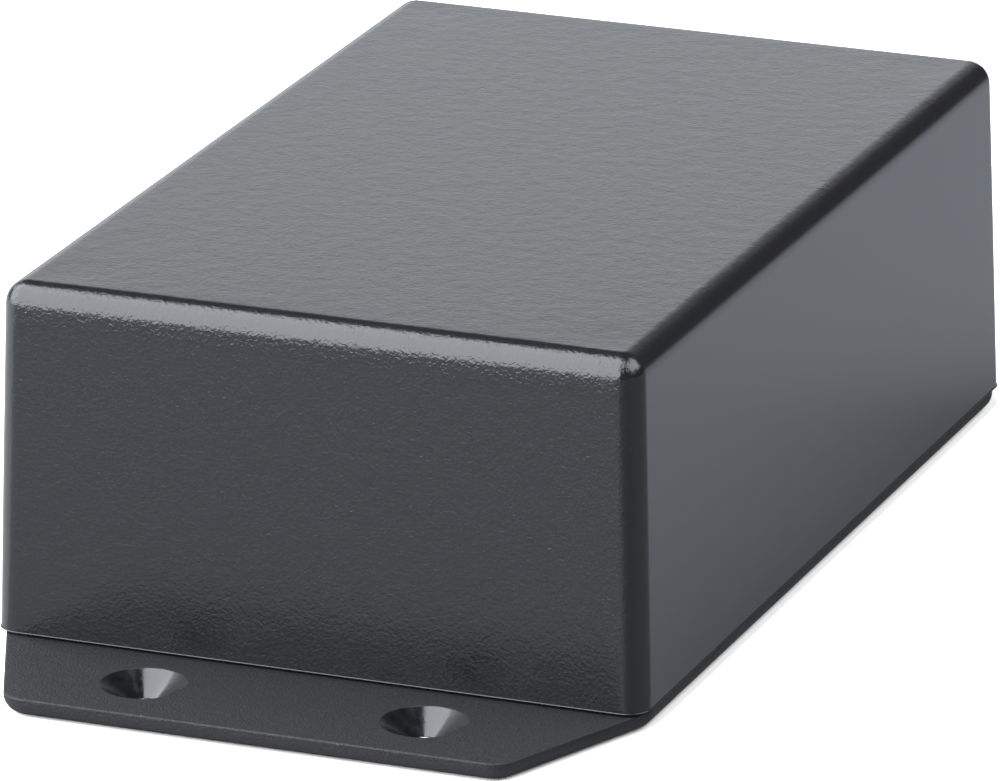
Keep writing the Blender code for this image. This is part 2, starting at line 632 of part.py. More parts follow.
def make_board_parts():
    for path, side in PATHS.items():
        x = side * SHIELD_CENTRE.x
        hanging_box(f"{path}_power_amplifier", x, SHIELD_CENTRE.y - AMPLIFIER_SPACING * side,
                    (9.0, 9.0, 1.6), CHIP_EPOXY, 0.15 * MM)
        hanging_box(f"{path}_low_noise_amplifier", x, SHIELD_CENTRE.y + AMPLIFIER_SPACING * side,
                    (5.0, 5.0, 1.0), CHIP_EPOXY, 0.12 * MM)
        make_shield(path, side)
    for end, side in SIDES.items():
        hanging_box(f"{end}_duplexer", side * DUPLEXER_X, DUPLEXER_Y, (12.0, 24.0, 6.0),
                    CERAMIC, 0.3 * MM)
    hanging_box("control_processor", 0.0, PROCESSOR_Y, (14.0, 14.0, 1.5), CHIP_EPOXY, 0.2 * MM)
    hanging_box("reference_oscillator", OSCILLATOR_X, PROCESSOR_Y, (7.0, 5.0, 2.0), TINPLATE,
                0.3 * MM)
    hanging_box("voltage_regulator", 0.0, REGULATOR_Y, (6.6, 6.2, 2.3), CHIP_EPOXY, 0.25 * MM)
    hanging_box("power_inductor", 0.0, INDUCTOR_Y, (9.0, 9.0, 5.0), FERRITE, 0.8 * MM)
    make_capacitor("input", 0.0, INPUT_CAPACITOR_Y)
    make_capacitor("output", 0.0, OUTPUT_CAPACITOR_Y)


# ---------------------------------------------------------------- rear connectors
def make_antenna_jack(end, side):
    """A threaded coaxial jack soldered to the board's edge and clamped through the wall."""
    x = side * JACK_X
    inner_wall = rear_wall_inner(JACK_Z)
    block_front = inner_wall - GAP
    block_back = BOARD_HALF_LENGTH + GAP
    tip = JACK_TIP_Y
    chamfer = JACK_TIP_CHAMFER
    barrel_profile = [(JACK_BORE_RADIUS, tip), (JACK_THREAD_RADIUS - chamfer, tip),
                      (JACK_THREAD_RADIUS, tip - chamfer),
                      (JACK_THREAD_RADIUS, block_front - 0.2 * MM),
                      (JACK_BORE_RADIUS, block_front - 0.2 * MM)]
    barrel = turned(f"{end}_antenna_jack", barrel_profile, (x, 0.0, JACK_Z), GOLD, steps=24,
                    along_y=True)
    half = JACK_BLOCK_HALF
    block = box(f"{end}_jack_block", (x - half, block_back, JACK_Z - half),
                (x + half, block_front, BOARD_TOP + JACK_BLOCK_RISE))
    legs = []
    for tag, leg_low, leg_high in (("over", BOARD_TOP + GAP, BOARD_TOP + 1.5 * MM),
                                   ("under", PART_CEILING - 1.2 * MM, PART_CEILING)):
        for hand in (-1, 1):
            middle = x + hand * JACK_LEG_X
            legs.append(box(f"{end}_leg_{tag}_{hand}",
                            (middle - JACK_LEG_HALF, block_back - JACK_LEG_REACH, leg_low),
                            (middle + JACK_LEG_HALF, block_back + 0.4 * MM, leg_high)))
    bore = rear_cylinder(f"{end}_jack_bore", JACK_BORE_RADIUS, block_back - OVERSHOOT,
                         block_front + 0.1 * MM, x, JACK_Z, steps=24)
    combine(barrel, [block], "UNION")
    combine(barrel, legs, "UNION")
    combine(barrel, [bore], "DIFFERENCE")

    sleeve_radius = JACK_BORE_RADIUS - GAP
    core_bore = JACK_CONTACT_RADIUS + GAP
    sleeve = [(sleeve_radius, tip - JACK_INSULATOR_RECESS), (sleeve_radius, block_back + GAP),
              (core_bore, block_back + GAP), (core_bore, tip - JACK_INSULATOR_RECESS)]
    turned(f"{end}_jack_insulator", sleeve, (x, 0.0, JACK_Z), PTFE, steps=20, along_y=True)
    tail = block_back - JACK_TAIL_REACH
    contact_tip = tip - JACK_CONTACT_RECESS
    contact = [(0.0, contact_tip), (JACK_CONTACT_TIP_RADIUS, contact_tip),
               (JACK_CONTACT_RADIUS, contact_tip - GAP), (JACK_CONTACT_RADIUS, tail), (0.0, tail)]
    turned(f"{end}_jack_contact", contact, (x, 0.0, JACK_Z), GOLD, steps=14, along_y=True)

    washer_start = rear_wall_outer(JACK_Z - WASHER_RADIUS) + GAP
    washer_end = washer_start + WASHER_THICKNESS
    ring_bore = JACK_THREAD_RADIUS + GAP
    washer = [(WASHER_RADIUS, washer_end), (WASHER_RADIUS, washer_start),
              (ring_bore, washer_start), (ring_bore, washer_end)]
    turned(f"{end}_lock_washer", washer, (x, 0.0, JACK_Z), ZINC_STEEL, steps=24, along_y=True)
    nut_start = washer_end + GAP
    nut_end = nut_start + NUT_THICKNESS
    make_hex_nut(f"{end}_jack_nut", x, nut_start, nut_end, ring_bore)


def make_hex_nut(name, x, start, end, bore_radius):
    """A hexagonal nut on a jack's thread, its corners chamfered by a turned blank."""
    prism = [(0.0, end), (NUT_CORNER_RADIUS, end), (NUT_CORNER_RADIUS, start), (0.0, start)]
    nut = turned(name, prism, (x, 0.0, JACK_Z), GOLD, steps=6, along_y=True)
    over = OVERSHOOT
    chamfer = NUT_CHAMFER
    blank_radius = NUT_CORNER_RADIUS + 0.05 * MM
    blank = turned(f"{name}_blank",
                   [(0.0, end + over), (blank_radius - chamfer * 2, end + over),
                    (blank_radius - chamfer * 2, end), (blank_radius, end - chamfer),
                    (blank_radius, start + chamfer), (blank_radius - chamfer * 2, start),
                    (blank_radius - chamfer * 2, start - over), (0.0, start - over)],
                   (x, 0.0, JACK_Z), None, steps=24, along_y=True)
    bore = rear_cylinder(f"{name}_bore", bore_radius, start - over, end + over, x, JACK_Z,
                         steps=24)
    combine(nut, [blank], "INTERSECT")
    combine(nut, [bore], "DIFFERENCE")


def make_power_jack():
    """A barrel power jack on the board, its collar in a hole of the rear wall."""
    size = POWER_JACK_SIZE
    front = rear_wall_inner(PART_CEILING - size.z) - GAP - 0.4 * MM
    back = front - size.y
    housing = box("power_jack_housing", (-size.x / 2, back, PART_CEILING - size.z),
                  (size.x / 2, front, PART_CEILING), JACK_PLASTIC, 0.3 * MM)
    collar_end = rear_wall_outer(POWER_Z + POWER_JACK_COLLAR_RADIUS)
    collar = rear_cylinder("power_jack_collar", POWER_JACK_COLLAR_RADIUS, front - OVERSHOOT,
                           collar_end, 0.0, POWER_Z, steps=28)
    socket_floor = collar_end - POWER_JACK_SOCKET_DEPTH
    socket = rear_cylinder("power_jack_socket", POWER_JACK_BORE_RADIUS, socket_floor,
                           collar_end + OVERSHOOT, 0.0, POWER_Z, steps=24)
    pin_radius = POWER_PIN_RADIUS
    pin_hole = rear_cylinder("power_jack_pin_hole", pin_radius + GAP, back - OVERSHOOT,
                             socket_floor + OVERSHOOT, 0.0, POWER_Z, steps=16)
    combine(housing, [collar], "UNION")
    combine(housing, [socket, pin_hole], "DIFFERENCE")
    tip = collar_end - POWER_PIN_RECESS
    pin = [(0.0, tip), (0.5 * MM, tip), (pin_radius, tip - 0.6 * MM), (pin_radius, back),
           (0.0, back)]
    turned("power_jack_pin", pin, (0.0, 0.0, POWER_Z), TINPLATE, steps=16, along_y=True)


def make_lamp():
    """A status lamp on the board and the light pipe that carries it through the wall."""
    pipe_end = rear_wall_outer(LAMP_Z + LAMP_RADIUS) + 0.2 * MM
    pipe_start = rear_wall_inner(LAMP_Z) - 2.0 * MM
    flange_end = rear_wall_inner(LAMP_Z + LAMP_RADIUS) - GAP
    pipe = [(0.0, pipe_end), (LAMP_RADIUS - 0.3 * MM, pipe_end),
            (LAMP_RADIUS, pipe_end - 0.3 * MM), (LAMP_RADIUS, flange_end),
            (PIPE_FLANGE_RADIUS, flange_end),
            (PIPE_FLANGE_RADIUS, flange_end - PIPE_FLANGE_THICKNESS),
            (LAMP_RADIUS, flange_end - PIPE_FLANGE_THICKNESS), (LAMP_RADIUS, pipe_start),
            (0.0, pipe_start)]
    turned("light_pipe", pipe, (LAMP_X, 0.0, LAMP_Z), CLEAR_ACRYLIC, steps=20, along_y=True)
    lens_end = pipe_start - GAP
    body_front = lens_end - 1.0 * MM
    low = (LAMP_X - LAMP_HALF_WIDTH, body_front - LAMP_DEPTH, PART_CEILING - LAMP_HEIGHT)
    high = (LAMP_X + LAMP_HALF_WIDTH, body_front, PART_CEILING)
    lamp = box("status_lamp", low, high, LAMP_GREEN, 0.15 * MM)
    lens = [(0.0, lens_end), (0.7 * MM, lens_end - 0.15 * MM), (1.2 * MM, lens_end - 0.55 * MM),
            (1.3 * MM, body_front - 0.5 * MM), (0.0, body_front - 0.5 * MM)]
    combine(lamp, [turned("lamp_lens", lens, (LAMP_X, 0.0, LAMP_Z), None, steps=16,
                          along_y=True)], "UNION")


# ---------------------------------------------------------------- assembly
make_base()
make_case()
for corner_name, corner_signs in CORNERS.items():
    make_lid_screw(corner_name, *corner_signs)
    make_insert(corner_name, *corner_signs)
    make_board_screw(corner_name, *corner_signs)
make_board()
make_board_parts()
for end_name, end_side in SIDES.items():
    make_antenna_jack(end_name, end_side)
make_power_jack()
make_lamp()
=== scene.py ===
"""The looks of a compact signal booster in a black moulded flange-mount case.
"""
import math

import bmesh
import bpy
from mathutils import Matrix, Vector


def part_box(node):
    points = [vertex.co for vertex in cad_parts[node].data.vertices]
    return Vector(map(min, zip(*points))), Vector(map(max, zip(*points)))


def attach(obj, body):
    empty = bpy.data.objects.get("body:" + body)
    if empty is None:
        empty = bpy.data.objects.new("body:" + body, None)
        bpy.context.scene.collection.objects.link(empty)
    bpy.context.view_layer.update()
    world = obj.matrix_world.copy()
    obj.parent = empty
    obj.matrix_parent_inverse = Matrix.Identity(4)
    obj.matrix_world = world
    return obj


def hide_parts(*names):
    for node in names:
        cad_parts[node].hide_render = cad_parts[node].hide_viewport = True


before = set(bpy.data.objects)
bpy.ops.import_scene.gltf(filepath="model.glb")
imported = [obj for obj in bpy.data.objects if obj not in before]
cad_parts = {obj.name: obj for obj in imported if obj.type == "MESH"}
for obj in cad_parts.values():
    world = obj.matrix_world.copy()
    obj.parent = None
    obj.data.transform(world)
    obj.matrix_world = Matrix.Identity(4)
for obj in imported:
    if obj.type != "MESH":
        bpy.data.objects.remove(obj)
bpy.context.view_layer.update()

# Lengths are in metres and angles in degrees unless a name or a comment says otherwise.
MM = 0.001
# Points of one mesh that are closer than this are merged.
MERGE = 0.000002
# Turned parts stay sharp only at edges that turn more than this.
ROUND = 40.0
# The signs of x and y at each corner, and of x at each antenna jack.
CORNERS = {"front_left": (-1, -1), "front_right": (1, -1), "rear_left": (-1, 1),
    "rear_right": (1, 1)}
SIDES = {"donor": -1, "server": 1}
PATHS = ("uplink", "downlink")


# ---------------------------------------------------------------- material helpers
class Look:
    """A procedural material: a Principled shader and the nodes that feed it."""

    def __init__(self, name, colour, roughness, metallic=0.0, **shader_values):
        self.material = bpy.data.materials.new(name)
        self.material.use_nodes = True
        self.nodes = self.material.node_tree.nodes
        self.links = self.material.node_tree.links
        self.shader = self.nodes["Principled BSDF"]
        self.shader.inputs["Base Color"].default_value = (*colour, 1)
        self.shader.inputs["Roughness"].default_value = roughness
        self.shader.inputs["Metallic"].default_value = metallic
        for socket, value in shader_values.items():
            self.shader.inputs[socket.replace("_", " ")].default_value = value
        self.place = self.nodes.new("ShaderNodeTexCoord").outputs["Object"]

    def node(self, kind, inputs):
        """Make a node. Each of its inputs is a value to set or another node's socket to link."""
        made = self.nodes.new(kind)
        for key, value in inputs.items():
            if isinstance(value, bpy.types.NodeSocket):
                self.links.new(value, made.inputs[key])
            else:
                made.inputs[key].default_value = value
        return made

    def noise(self, size, detail=2.0, roughness=0.5, stretch=None, distortion=0.0):
        """Noise with features of about the given size in metres."""
        place = self.place
        if stretch:
            mapping = self.node("ShaderNodeMapping", {"Scale": stretch, "Vector": place})
            place = mapping.outputs["Vector"]
        values = {"Scale": 1.0 / size, "Detail": detail, "Roughness": roughness,
            "Distortion": distortion, "Vector": place}
        return self.node("ShaderNodeTexNoise", values).outputs["Fac"]

    def along(self, axis):
        """The place along one axis, in metres."""
        return self.node("ShaderNodeSeparateXYZ", {"Vector": self.place}).outputs[axis]

    def ramp(self, value, low, high, to_low=0.0, to_high=1.0):
        """Map the range low to high onto the range to_low to to_high, and no further."""
        ends = {"From Min": low, "From Max": high, "To Min": to_low, "To Max": to_high}
        return self.node("ShaderNodeMapRange", {"Value": value, **ends}).outputs["Result"]

    def math(self, operation, *operands):
        """Arithmetic on sockets and numbers."""
        made = self.node("ShaderNodeMath", dict(enumerate(operands)))
        made.operation = operation
        return made.outputs["Value"]

    def attribute(self, name):
        """A value that the mesh holds for each of its points."""
        made = self.nodes.new("ShaderNodeAttribute")
        made.attribute_name = name
        return made.outputs["Fac"]

    def mix_colour(self, factor, first, second):
        """A blend from the first colour to the second; either can be a socket."""
        made = self.nodes.new("ShaderNodeMix")
        made.data_type = "RGBA"
        self.links.new(factor, made.inputs["Factor"])
        for key, value in (("A", first), ("B", second)):
            if isinstance(value, tuple):
                made.inputs[key].default_value = (*value, 1)
            else:
                self.links.new(value, made.inputs[key])
        return made.outputs["Result"]

    def bump(self, *layers):
        """Stack bump layers of (height, distance in metres, strength)."""
        below = {}
        for height, distance, strength in layers:
            values = {"Distance": distance, "Strength": strength, "Height": height, **below}
            below = {"Normal": self.node("ShaderNodeBump", values).outputs["Normal"]}
        self.feed("Normal", below["Normal"])

    def feed(self, socket, value):
        """Link a value to one of the shader's inputs."""
        self.links.new(value, self.shader.inputs[socket])

    def grade(self, grain, dark, bright, low=0.3, high=0.7):
        """Colour the shader from dark to bright as a grain goes from low to high."""
        self.feed("Base Color", self.mix_colour(self.ramp(grain, low, high), dark, bright))


# ---------------------------------------------------------------- camera, floor and light
# Azimuth from the front, elevation and roll.
CAMERA_DEGREES = (21.656, 18.967, -0.279)
CAMERA_TARGET = Vector((0.135, -5.129, 18.315)) * MM
CAMERA_DISTANCE = 1.1854
CAMERA_LENS, CAMERA_SENSOR = 361.3, 36.0
PANEL_TINT = (0.91, 0.945, 1)
# A panel's power is its radiance times its area times this.
PANEL_POWER = 4
# The panels face a point at this height over the middle of the floor.
AIM_HEIGHT = 0.02
CARD_HEIGHT = 0.0004
FLOOR_SIZE, FLOOR_HEIGHT = 12.0, -0.00005
# The floor is near white to the camera, and grey to everything that reflects it.
FLOOR_SEEN, FLOOR_REFLECTED = (0.97, 0.935, 0.885), (0.262, 0.272, 0.282)
ROOM_TINT, ROOM_LIGHT = (0.95, 0.97, 1, 1), 0.12


def place_camera():
    """A long lens from the front right, a little above the case."""
    azimuth, elevation, roll = (math.radians(a) for a in CAMERA_DEGREES)
    back = Vector((math.sin(azimuth) * math.cos(elevation),
        -math.cos(azimuth) * math.cos(elevation), math.sin(elevation)))
    right = (-back).cross(Vector((0, 0, 1))).normalized()
    up = right.cross(-back)
    tilted_right = math.cos(roll) * right + math.sin(roll) * up
    tilted_up = math.cos(roll) * up - math.sin(roll) * right
    data = bpy.data.cameras.new("camera")
    data.sensor_width = CAMERA_SENSOR
    data.lens = CAMERA_LENS
    data.clip_start = 0.1
    data.clip_end = 50.0
    camera = bpy.data.objects.new("camera", data)
    axes = Matrix((tilted_right, tilted_up, back)).transposed()
    place = Matrix.Translation(CAMERA_TARGET + back * CAMERA_DISTANCE)
    camera.matrix_world = place @ axes.to_4x4()
    bpy.context.scene.collection.objects.link(camera)
    bpy.context.scene.camera = camera


def soft_box(name, direction, distance, width, height, radiance, up=(0, 0, 1)):
    """A rectangular panel of light that faces the case from a direction, its top edge
    square to up."""
    data = bpy.data.lights.new(name, "AREA")
    data.shape = "RECTANGLE"
    data.size = width
    data.size_y = height
    data.energy = radiance * width * height * PANEL_POWER
    data.color = PANEL_TINT
    panel = bpy.data.objects.new(name, data)
    towards = Vector(direction).normalized()
    side = Vector(up).cross(towards).normalized()
    axes = Matrix((side, towards.cross(side), towards)).transposed()
    place = towards * distance + Vector((0, 0, AIM_HEIGHT))
    panel.matrix_world = Matrix.Translation(place) @ axes.to_4x4()
    panel.visible_camera = False
    bpy.context.scene.collection.objects.link(panel)


def floor_card(name, tone, corners):
    """A grey card on the floor that only reflections see, as photographers shape an edge."""
    mesh = bpy.data.meshes.new(name)
    mesh.from_pydata([(x, y, CARD_HEIGHT) for x, y in corners], [], [tuple(range(len(corners)))])
    card = bpy.data.objects.new(name, mesh)
    bpy.context.scene.collection.objects.link(card)
    mesh.materials.append(Look(name, (tone, tone, tone), 0.5).material)
    card.visible_camera = card.visible_diffuse = card.visible_shadow = False
    card.visible_transmission = False


def make_stage():
    """The floor, three panels of light, two cards and a dim room that looks white behind."""
    bpy.ops.mesh.primitive_plane_add(size=FLOOR_SIZE, location=(0, 0, FLOOR_HEIGHT))
    floor = bpy.context.object
    floor.name = "floor"
    look = Look("pale_floor", FLOOR_REFLECTED, 0.9, Specular_IOR_Level=0.2)
    seen = look.nodes.new("ShaderNodeLightPath").outputs["Is Camera Ray"]
    look.feed("Base Color", look.mix_colour(seen, FLOOR_REFLECTED, FLOOR_SEEN))
    floor.data.materials.append(look.material)

    soft_box("key_front_left", (-0.60, -0.55, 0.585), 1.2, 2.64, 2.85, 6.0,
        up=(0.448, 0.878, 0.172))
    soft_box("backdrop_left", (-0.50, 0.85, 0.215), 1.6, 1.9, 0.74, 1.0)
    soft_box("kicker_right", (0.694, 0.06, 0.719), 1.5, 1.6, 1.1, 4.6)
    floor_card("dark_card_front_right", 0.12, ((0.037, -0.066), (-0.032, -0.40), (0.40, -0.40),
        (0.40, 0.35), (0.29, 0.345)))
    floor_card("pale_card_left", 0.38, ((-0.045, -0.062), (-0.60, -0.36), (-0.60, 0.35),
        (-0.045, 0.06)))

    world = bpy.data.worlds.new("studio")
    bpy.context.scene.world = world
    world.use_nodes = True
    nodes, links = world.node_tree.nodes, world.node_tree.links
    nodes.clear()
    output = nodes.new("ShaderNodeOutputWorld")
    pale = nodes.new("ShaderNodeBackground")
    pale.inputs["Color"].default_value = (1, 1, 1, 1)
    dim = nodes.new("ShaderNodeBackground")
    dim.inputs["Color"].default_value = ROOM_TINT
    dim.inputs["Strength"].default_value = ROOM_LIGHT
    mix = nodes.new("ShaderNodeMixShader")
    path = nodes.new("ShaderNodeLightPath")
    links.new(path.outputs["Is Camera Ray"], mix.inputs["Fac"])
    links.new(dim.outputs[0], mix.inputs[1])
    links.new(pale.outputs[0], mix.inputs[2])
    links.new(mix.outputs[0], output.inputs["Surface"])
    bpy.context.scene.view_settings.view_transform = "Standard"


# ---------------------------------------------------------------- materials
# The darkest and palest tones of the cover's grain and of the plate's, and the painted light
# that makes the plate's edge paler low down.
BLACK_LOW, BLACK_HIGH = (0.0028, 0.0028, 0.0034), (0.0054, 0.0054, 0.0062)
PLATE_LOW, PLATE_HIGH = (0.0008, 0.0008, 0.0010), (0.0090, 0.0090, 0.0100)
PLATE_PAINTED_LIGHT = (0.0165, 0.0165, 0.0175)


def case_plastic():
    """Near-black moulded ABS: glossy, with a crinkled orange peel on the ends, a shallower
    one on the top, and almost none on the long sides."""
    look = Look("case_plastic", BLACK_LOW, 0.2, IOR=1.5)
    across, up = look.along("X"), look.along("Z")
    ends = look.ramp(look.math("ABSOLUTE", across), 36.8 * MM, 38.6 * MM, 1.0, 0.1)
    lid = look.ramp(up, 43.7 * MM, 44.5 * MM, 1.0, 0.24)
    wall = look.ramp(up, 39.6 * MM, 41.4 * MM, 0.42, 1.0)
    depth = look.math("MULTIPLY", ends, look.math("MULTIPLY", lid, wall))
    peel = look.math("MULTIPLY", depth, look.noise(0.43 * MM, detail=1.0, distortion=0.5))
    swell = look.math("MULTIPLY", ends, look.noise(2.2 * MM, detail=1.0))
    fine = look.noise(0.22 * MM, detail=2.0, roughness=0.6)
    look.feed("Roughness", look.ramp(fine, 0.3, 0.7, 0.2, 0.26))
    look.grade(fine, BLACK_LOW, BLACK_HIGH, 0.35, 0.65)
    look.bump((swell, 0.03 * MM, 1.0), (peel, 0.09 * MM, 1.0), (fine, 0.003 * MM, 0.5))
    return look.material


def plate_plastic():
    """The same ABS with a rougher grain, made paler low on its edge by painted light, and with
    pale specks where its upper edge is worn."""
    look = Look("plate_plastic", BLACK_LOW, 0.5, IOR=1.38)
    grain = look.noise(0.3 * MM, detail=3.0, roughness=0.65)
    peel = look.noise(1.1 * MM, detail=1.0)
    specks = look.ramp(look.noise(0.8 * MM, detail=4.0, roughness=0.7), 0.66, 0.74)
    worn = look.math("MULTIPLY", look.attribute("edge"), specks)
    black = look.mix_colour(look.ramp(grain, 0.3, 0.7), PLATE_LOW, PLATE_HIGH)
    # Painted light: the base colour turns paler low on the plate's edge, fully so below 0.8 mm,
    # where the rounded edge turns down into shade.
    painted_light_low = look.ramp(look.along("Z"), 0.8 * MM, 2.3 * MM, 1.0, 0.0)
    black = look.mix_colour(painted_light_low, black, PLATE_PAINTED_LIGHT)
    look.feed("Base Color", look.mix_colour(worn, black, (0.20, 0.20, 0.21)))
    look.feed("Roughness", look.ramp(grain, 0.3, 0.7, 0.5, 0.62))
    look.bump((peel, 0.1 * MM, 0.6), (grain, 0.16 * MM, 0.9))
    return look.material


def sink_plastic():
    """The turned cones of the fixing holes: glossy, with faint tool rings."""
    look = Look("sink_plastic", BLACK_LOW, 0.14, IOR=1.5)
    swirl = look.noise(0.9 * MM, detail=2.0)
    look.feed("Roughness", look.ramp(swirl, 0.3, 0.7, 0.1, 0.18))
    look.grade(swirl, BLACK_LOW, BLACK_HIGH)
    look.bump((swirl, 0.012 * MM, 0.5))
    return look.material


def metal(name, dark, bright, rough_low, rough_high, grain, stretch=None, bump=0.006):
    """A plated or drawn metal with cloudy tone and fine marks of the given grain in mm."""
    look = Look(name, bright, (rough_low + rough_high) / 2, metallic=1.0)
    marks = look.noise(grain * MM, detail=4.0, roughness=0.65, stretch=stretch)
    cloud = look.noise(2.6 * MM, detail=3.0)
    look.grade(cloud, dark, bright)
    look.feed("Roughness", look.ramp(marks, 0.3, 0.7, rough_low, rough_high))
    look.bump((marks, bump * MM, 0.6))
    return look.material


def moulded(name, dark, bright, rough_low, rough_high, grain, bump=0.01, **shader_values):
    """A moulded or fired body with mottled tone and a fine grain in mm."""
    look = Look(name, bright, (rough_low + rough_high) / 2, **shader_values)
    fine = look.noise(grain * MM, detail=3.0, roughness=0.6)
    cloud = look.noise(grain * 9 * MM, detail=2.0)
    look.grade(cloud, dark, bright)
    look.feed("Roughness", look.ramp(fine, 0.3, 0.7, rough_low, rough_high))
    look.bump((fine, bump * MM, 0.6))
    return look.material


CLOTH_THREAD = 0.9 * MM
# The wave texture draws about this many bands a metre at scale 1.
BANDS_PER_UNIT = 3.2


def solder_mask():
    """Green mask over glass cloth, whose weave shows faintly."""
    look = Look("solder_mask", (0.012, 0.10, 0.045), 0.3)
    threads = []
    for axis in ("X", "Y"):
        values = {"Scale": 1.0 / CLOTH_THREAD / BANDS_PER_UNIT, "Distortion": 1.5,
            "Vector": look.place}
        wave = look.node("ShaderNodeTexWave", values)
        wave.bands_direction = axis
        threads.append(wave.outputs["Fac"])
    weave = look.math("MULTIPLY", *threads)
    cloud = look.noise(5 * MM, detail=2.0)
    deep = look.mix_colour(look.ramp(weave, 0.0, 1.0), (0.009, 0.083, 0.038),
        (0.014, 0.115, 0.052))
    look.feed("Base Color",
        look.mix_colour(look.ramp(cloud, 0.4, 0.9), deep, (0.018, 0.13, 0.055)))
    look.feed("Roughness", look.ramp(cloud, 0.3, 0.7, 0.24, 0.36))
    look.bump((weave, 0.008 * MM, 0.5))
    return look.material


def clear_plastic(name, colour, transmission):
    """A polished clear plastic with a trace of haze."""
    look = Look(name, colour, 0.06, IOR=1.49, Transmission_Weight=transmission)
    haze = look.noise(0.8 * MM, detail=3.0)
    look.feed("Roughness", look.ramp(haze, 0.35, 0.75, 0.04, 0.12))
    look.bump((haze, 0.004 * MM, 0.4))
    return look.material


# ---------------------------------------------------------------- mesh helpers
def link(name, mesh, looks, body="case", nodes=None, slot=None):
    """Link a finished mesh as a piece that rides on a body and stands for CAD nodes: the one
    of its own name, unless told otherwise. The slot argument is not used."""
    piece = bpy.data.objects.new(name, mesh)
    bpy.context.scene.collection.objects.link(piece)
    for look in looks:
        mesh.materials.append(look)
    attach(piece, body)
    nodes = (name,) if nodes is None else nodes
    if nodes:
        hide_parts(*nodes)
    return piece


def assemble(name, parts, **orders):
    """Join (mesh, look) parts into one piece that keeps each part's material."""
    for index, (mesh, _) in enumerate(parts):
        for face in mesh.polygons:
            face.material_index = index
    link(name, joined(*(mesh for mesh, _ in parts)), [look for _, look in parts], **orders)


def smooth(mesh, angle):
    """Shade a mesh smooth, but keep the edges that turn more than an angle in degrees."""
    mesh.shade_smooth()
    mesh.set_sharp_from_angle(angle=math.radians(angle))


def weigh_normals(piece):
    """Keep big flat faces flat next to their rounded edges."""
    modifier = piece.modifiers.new("flat_faces", "WEIGHTED_NORMAL")
    modifier.keep_sharp = True
    modifier.weight = 100


def finished(bm, angle=32.0):
    """Merge, turn outwards and shade a bmesh, and return its mesh."""
    bmesh.ops.remove_doubles(bm, verts=bm.verts[:], dist=MERGE)
    bmesh.ops.recalc_face_normals(bm, faces=bm.faces[:])
    mesh = bpy.data.meshes.new("made")
    bm.to_mesh(mesh)
    bm.free()
    smooth(mesh, angle)
    return mesh


def polar(radius, turn, z):
    """A point at a radius and an angle round the Z axis."""
    return Vector((radius * math.cos(turn), radius * math.sin(turn), z))


def quarter(steps):
    """The angles of a quarter turn in equal steps, both ends with them."""
    return [math.pi / 2 * i / steps for i in range(steps + 1)]


def loft(rings, angle=32.0, cap=True):
    """Skin a list of closed rings that have the same number of points."""
    bm = bmesh.new()
    rows = [[bm.verts.new(point) for point in ring] for ring in rings]
    count = len(rows[0])
    for lower, upper in zip(rows, rows[1:]):
        for i in range(count):
            j = (i + 1) % count
            bm.faces.new((lower[i], lower[j], upper[j], upper[i]))
    if cap:
        bm.faces.new(rows[0][::-1])
        bm.faces.new(rows[-1])
    return finished(bm, angle)


def closed_loft(rings, angle=32.0):
    """Skin rings into a tube that closes on itself."""
    return loft(rings + [rings[0]], angle, cap=False)


def turned_mesh(profile, steps=64, angle=32.0, closed=False):
    """A turned solid about Z from a profile of (radius, height), top to bottom."""
    bm = bmesh.new()
    rows = []
    for radius, height in profile:
        count = steps if radius > 0 else 1
        rows.append([bm.verts.new(polar(radius, 2 * math.pi * i / steps, height))
            for i in range(count)])
    pairs = list(zip(rows, rows[1:])) + ([(rows[-1], rows[0])] if closed else [])
    for upper, lower in pairs:
        for i in range(steps):
            j = (i + 1) % steps
            corners = [upper[i % len(upper)], lower[i % len(lower)], lower[j % len(lower)],
                upper[j % len(upper)]]
            unique = list(dict.fromkeys(corners))
            if len(unique) > 2:
                bm.faces.new(unique)
    return finished(bm, angle)


def box_mesh(low, high, chamfer=0.0, segments=2, angle=32.0):
    """A block between two corners, with rounded edges if a chamfer is given."""
    low, high = Vector(low), Vector(high)
    bm = bmesh.new()
    size = Matrix.Diagonal((*(high - low), 1.0))
    bmesh.ops.create_cube(bm, size=1.0, matrix=Matrix.Translation((low + high) / 2) @ size)
    if chamfer:
        bmesh.ops.bevel(bm, geom=bm.edges[:], offset=chamfer, segments=segments, profile=0.5,
            affect="EDGES")
    return finished(bm, angle)


def cut(target, tools, operation="DIFFERENCE", angle=32.0):
    """Cut tool meshes out of a target mesh, or join them to it, and shade the new mesh."""
    scene = bpy.context.scene.collection
    kit = bpy.data.collections.new("tools")
    scene.children.link(kit)
    work = bpy.data.objects.new("work", target)
    scene.objects.link(work)
    helpers = [bpy.data.objects.new("tool", tool) for tool in tools]
    for helper in helpers:
        kit.objects.link(helper)
    modifier = work.modifiers.new("boolean", "BOOLEAN")
    modifier.operation = operation
    modifier.solver = "EXACT"
    modifier.operand_type = "COLLECTION"
    modifier.collection = kit
    bpy.context.view_layer.update()
    evaluated = work.evaluated_get(bpy.context.evaluated_depsgraph_get())
    result = bpy.data.meshes.new_from_object(evaluated)
    for helper in helpers + [work]:
        bpy.data.objects.remove(helper, do_unlink=True)
    bpy.data.collections.remove(kit)
    smooth(result, angle)
    return result


def moved(mesh, matrix):
    mesh.transform(matrix)
    return mesh


def joined(*meshes):
    """One mesh from several, with their material indices kept."""
    bm = bmesh.new()
    for mesh in meshes:
        bm.from_mesh(mesh)
    result = bpy.data.meshes.new("joined")
    bm.to_mesh(result)
    bm.free()
    return result


def profile_mm(base, *points):
    """A profile from pairs of a radius and a height over the base, in millimetres."""
    return [(radius * MM, base + height * MM) for radius, height in points]


def rod(radius, top, bottom):
    """The profile of a plain round rod, for a post or a hole."""
    return [(0, top), (radius, top), (radius, bottom), (0, bottom)]


def turned_at(profile, x, y, steps):
    return moved(turned_mesh(profile, steps), Matrix.Translation((x, y, 0)))


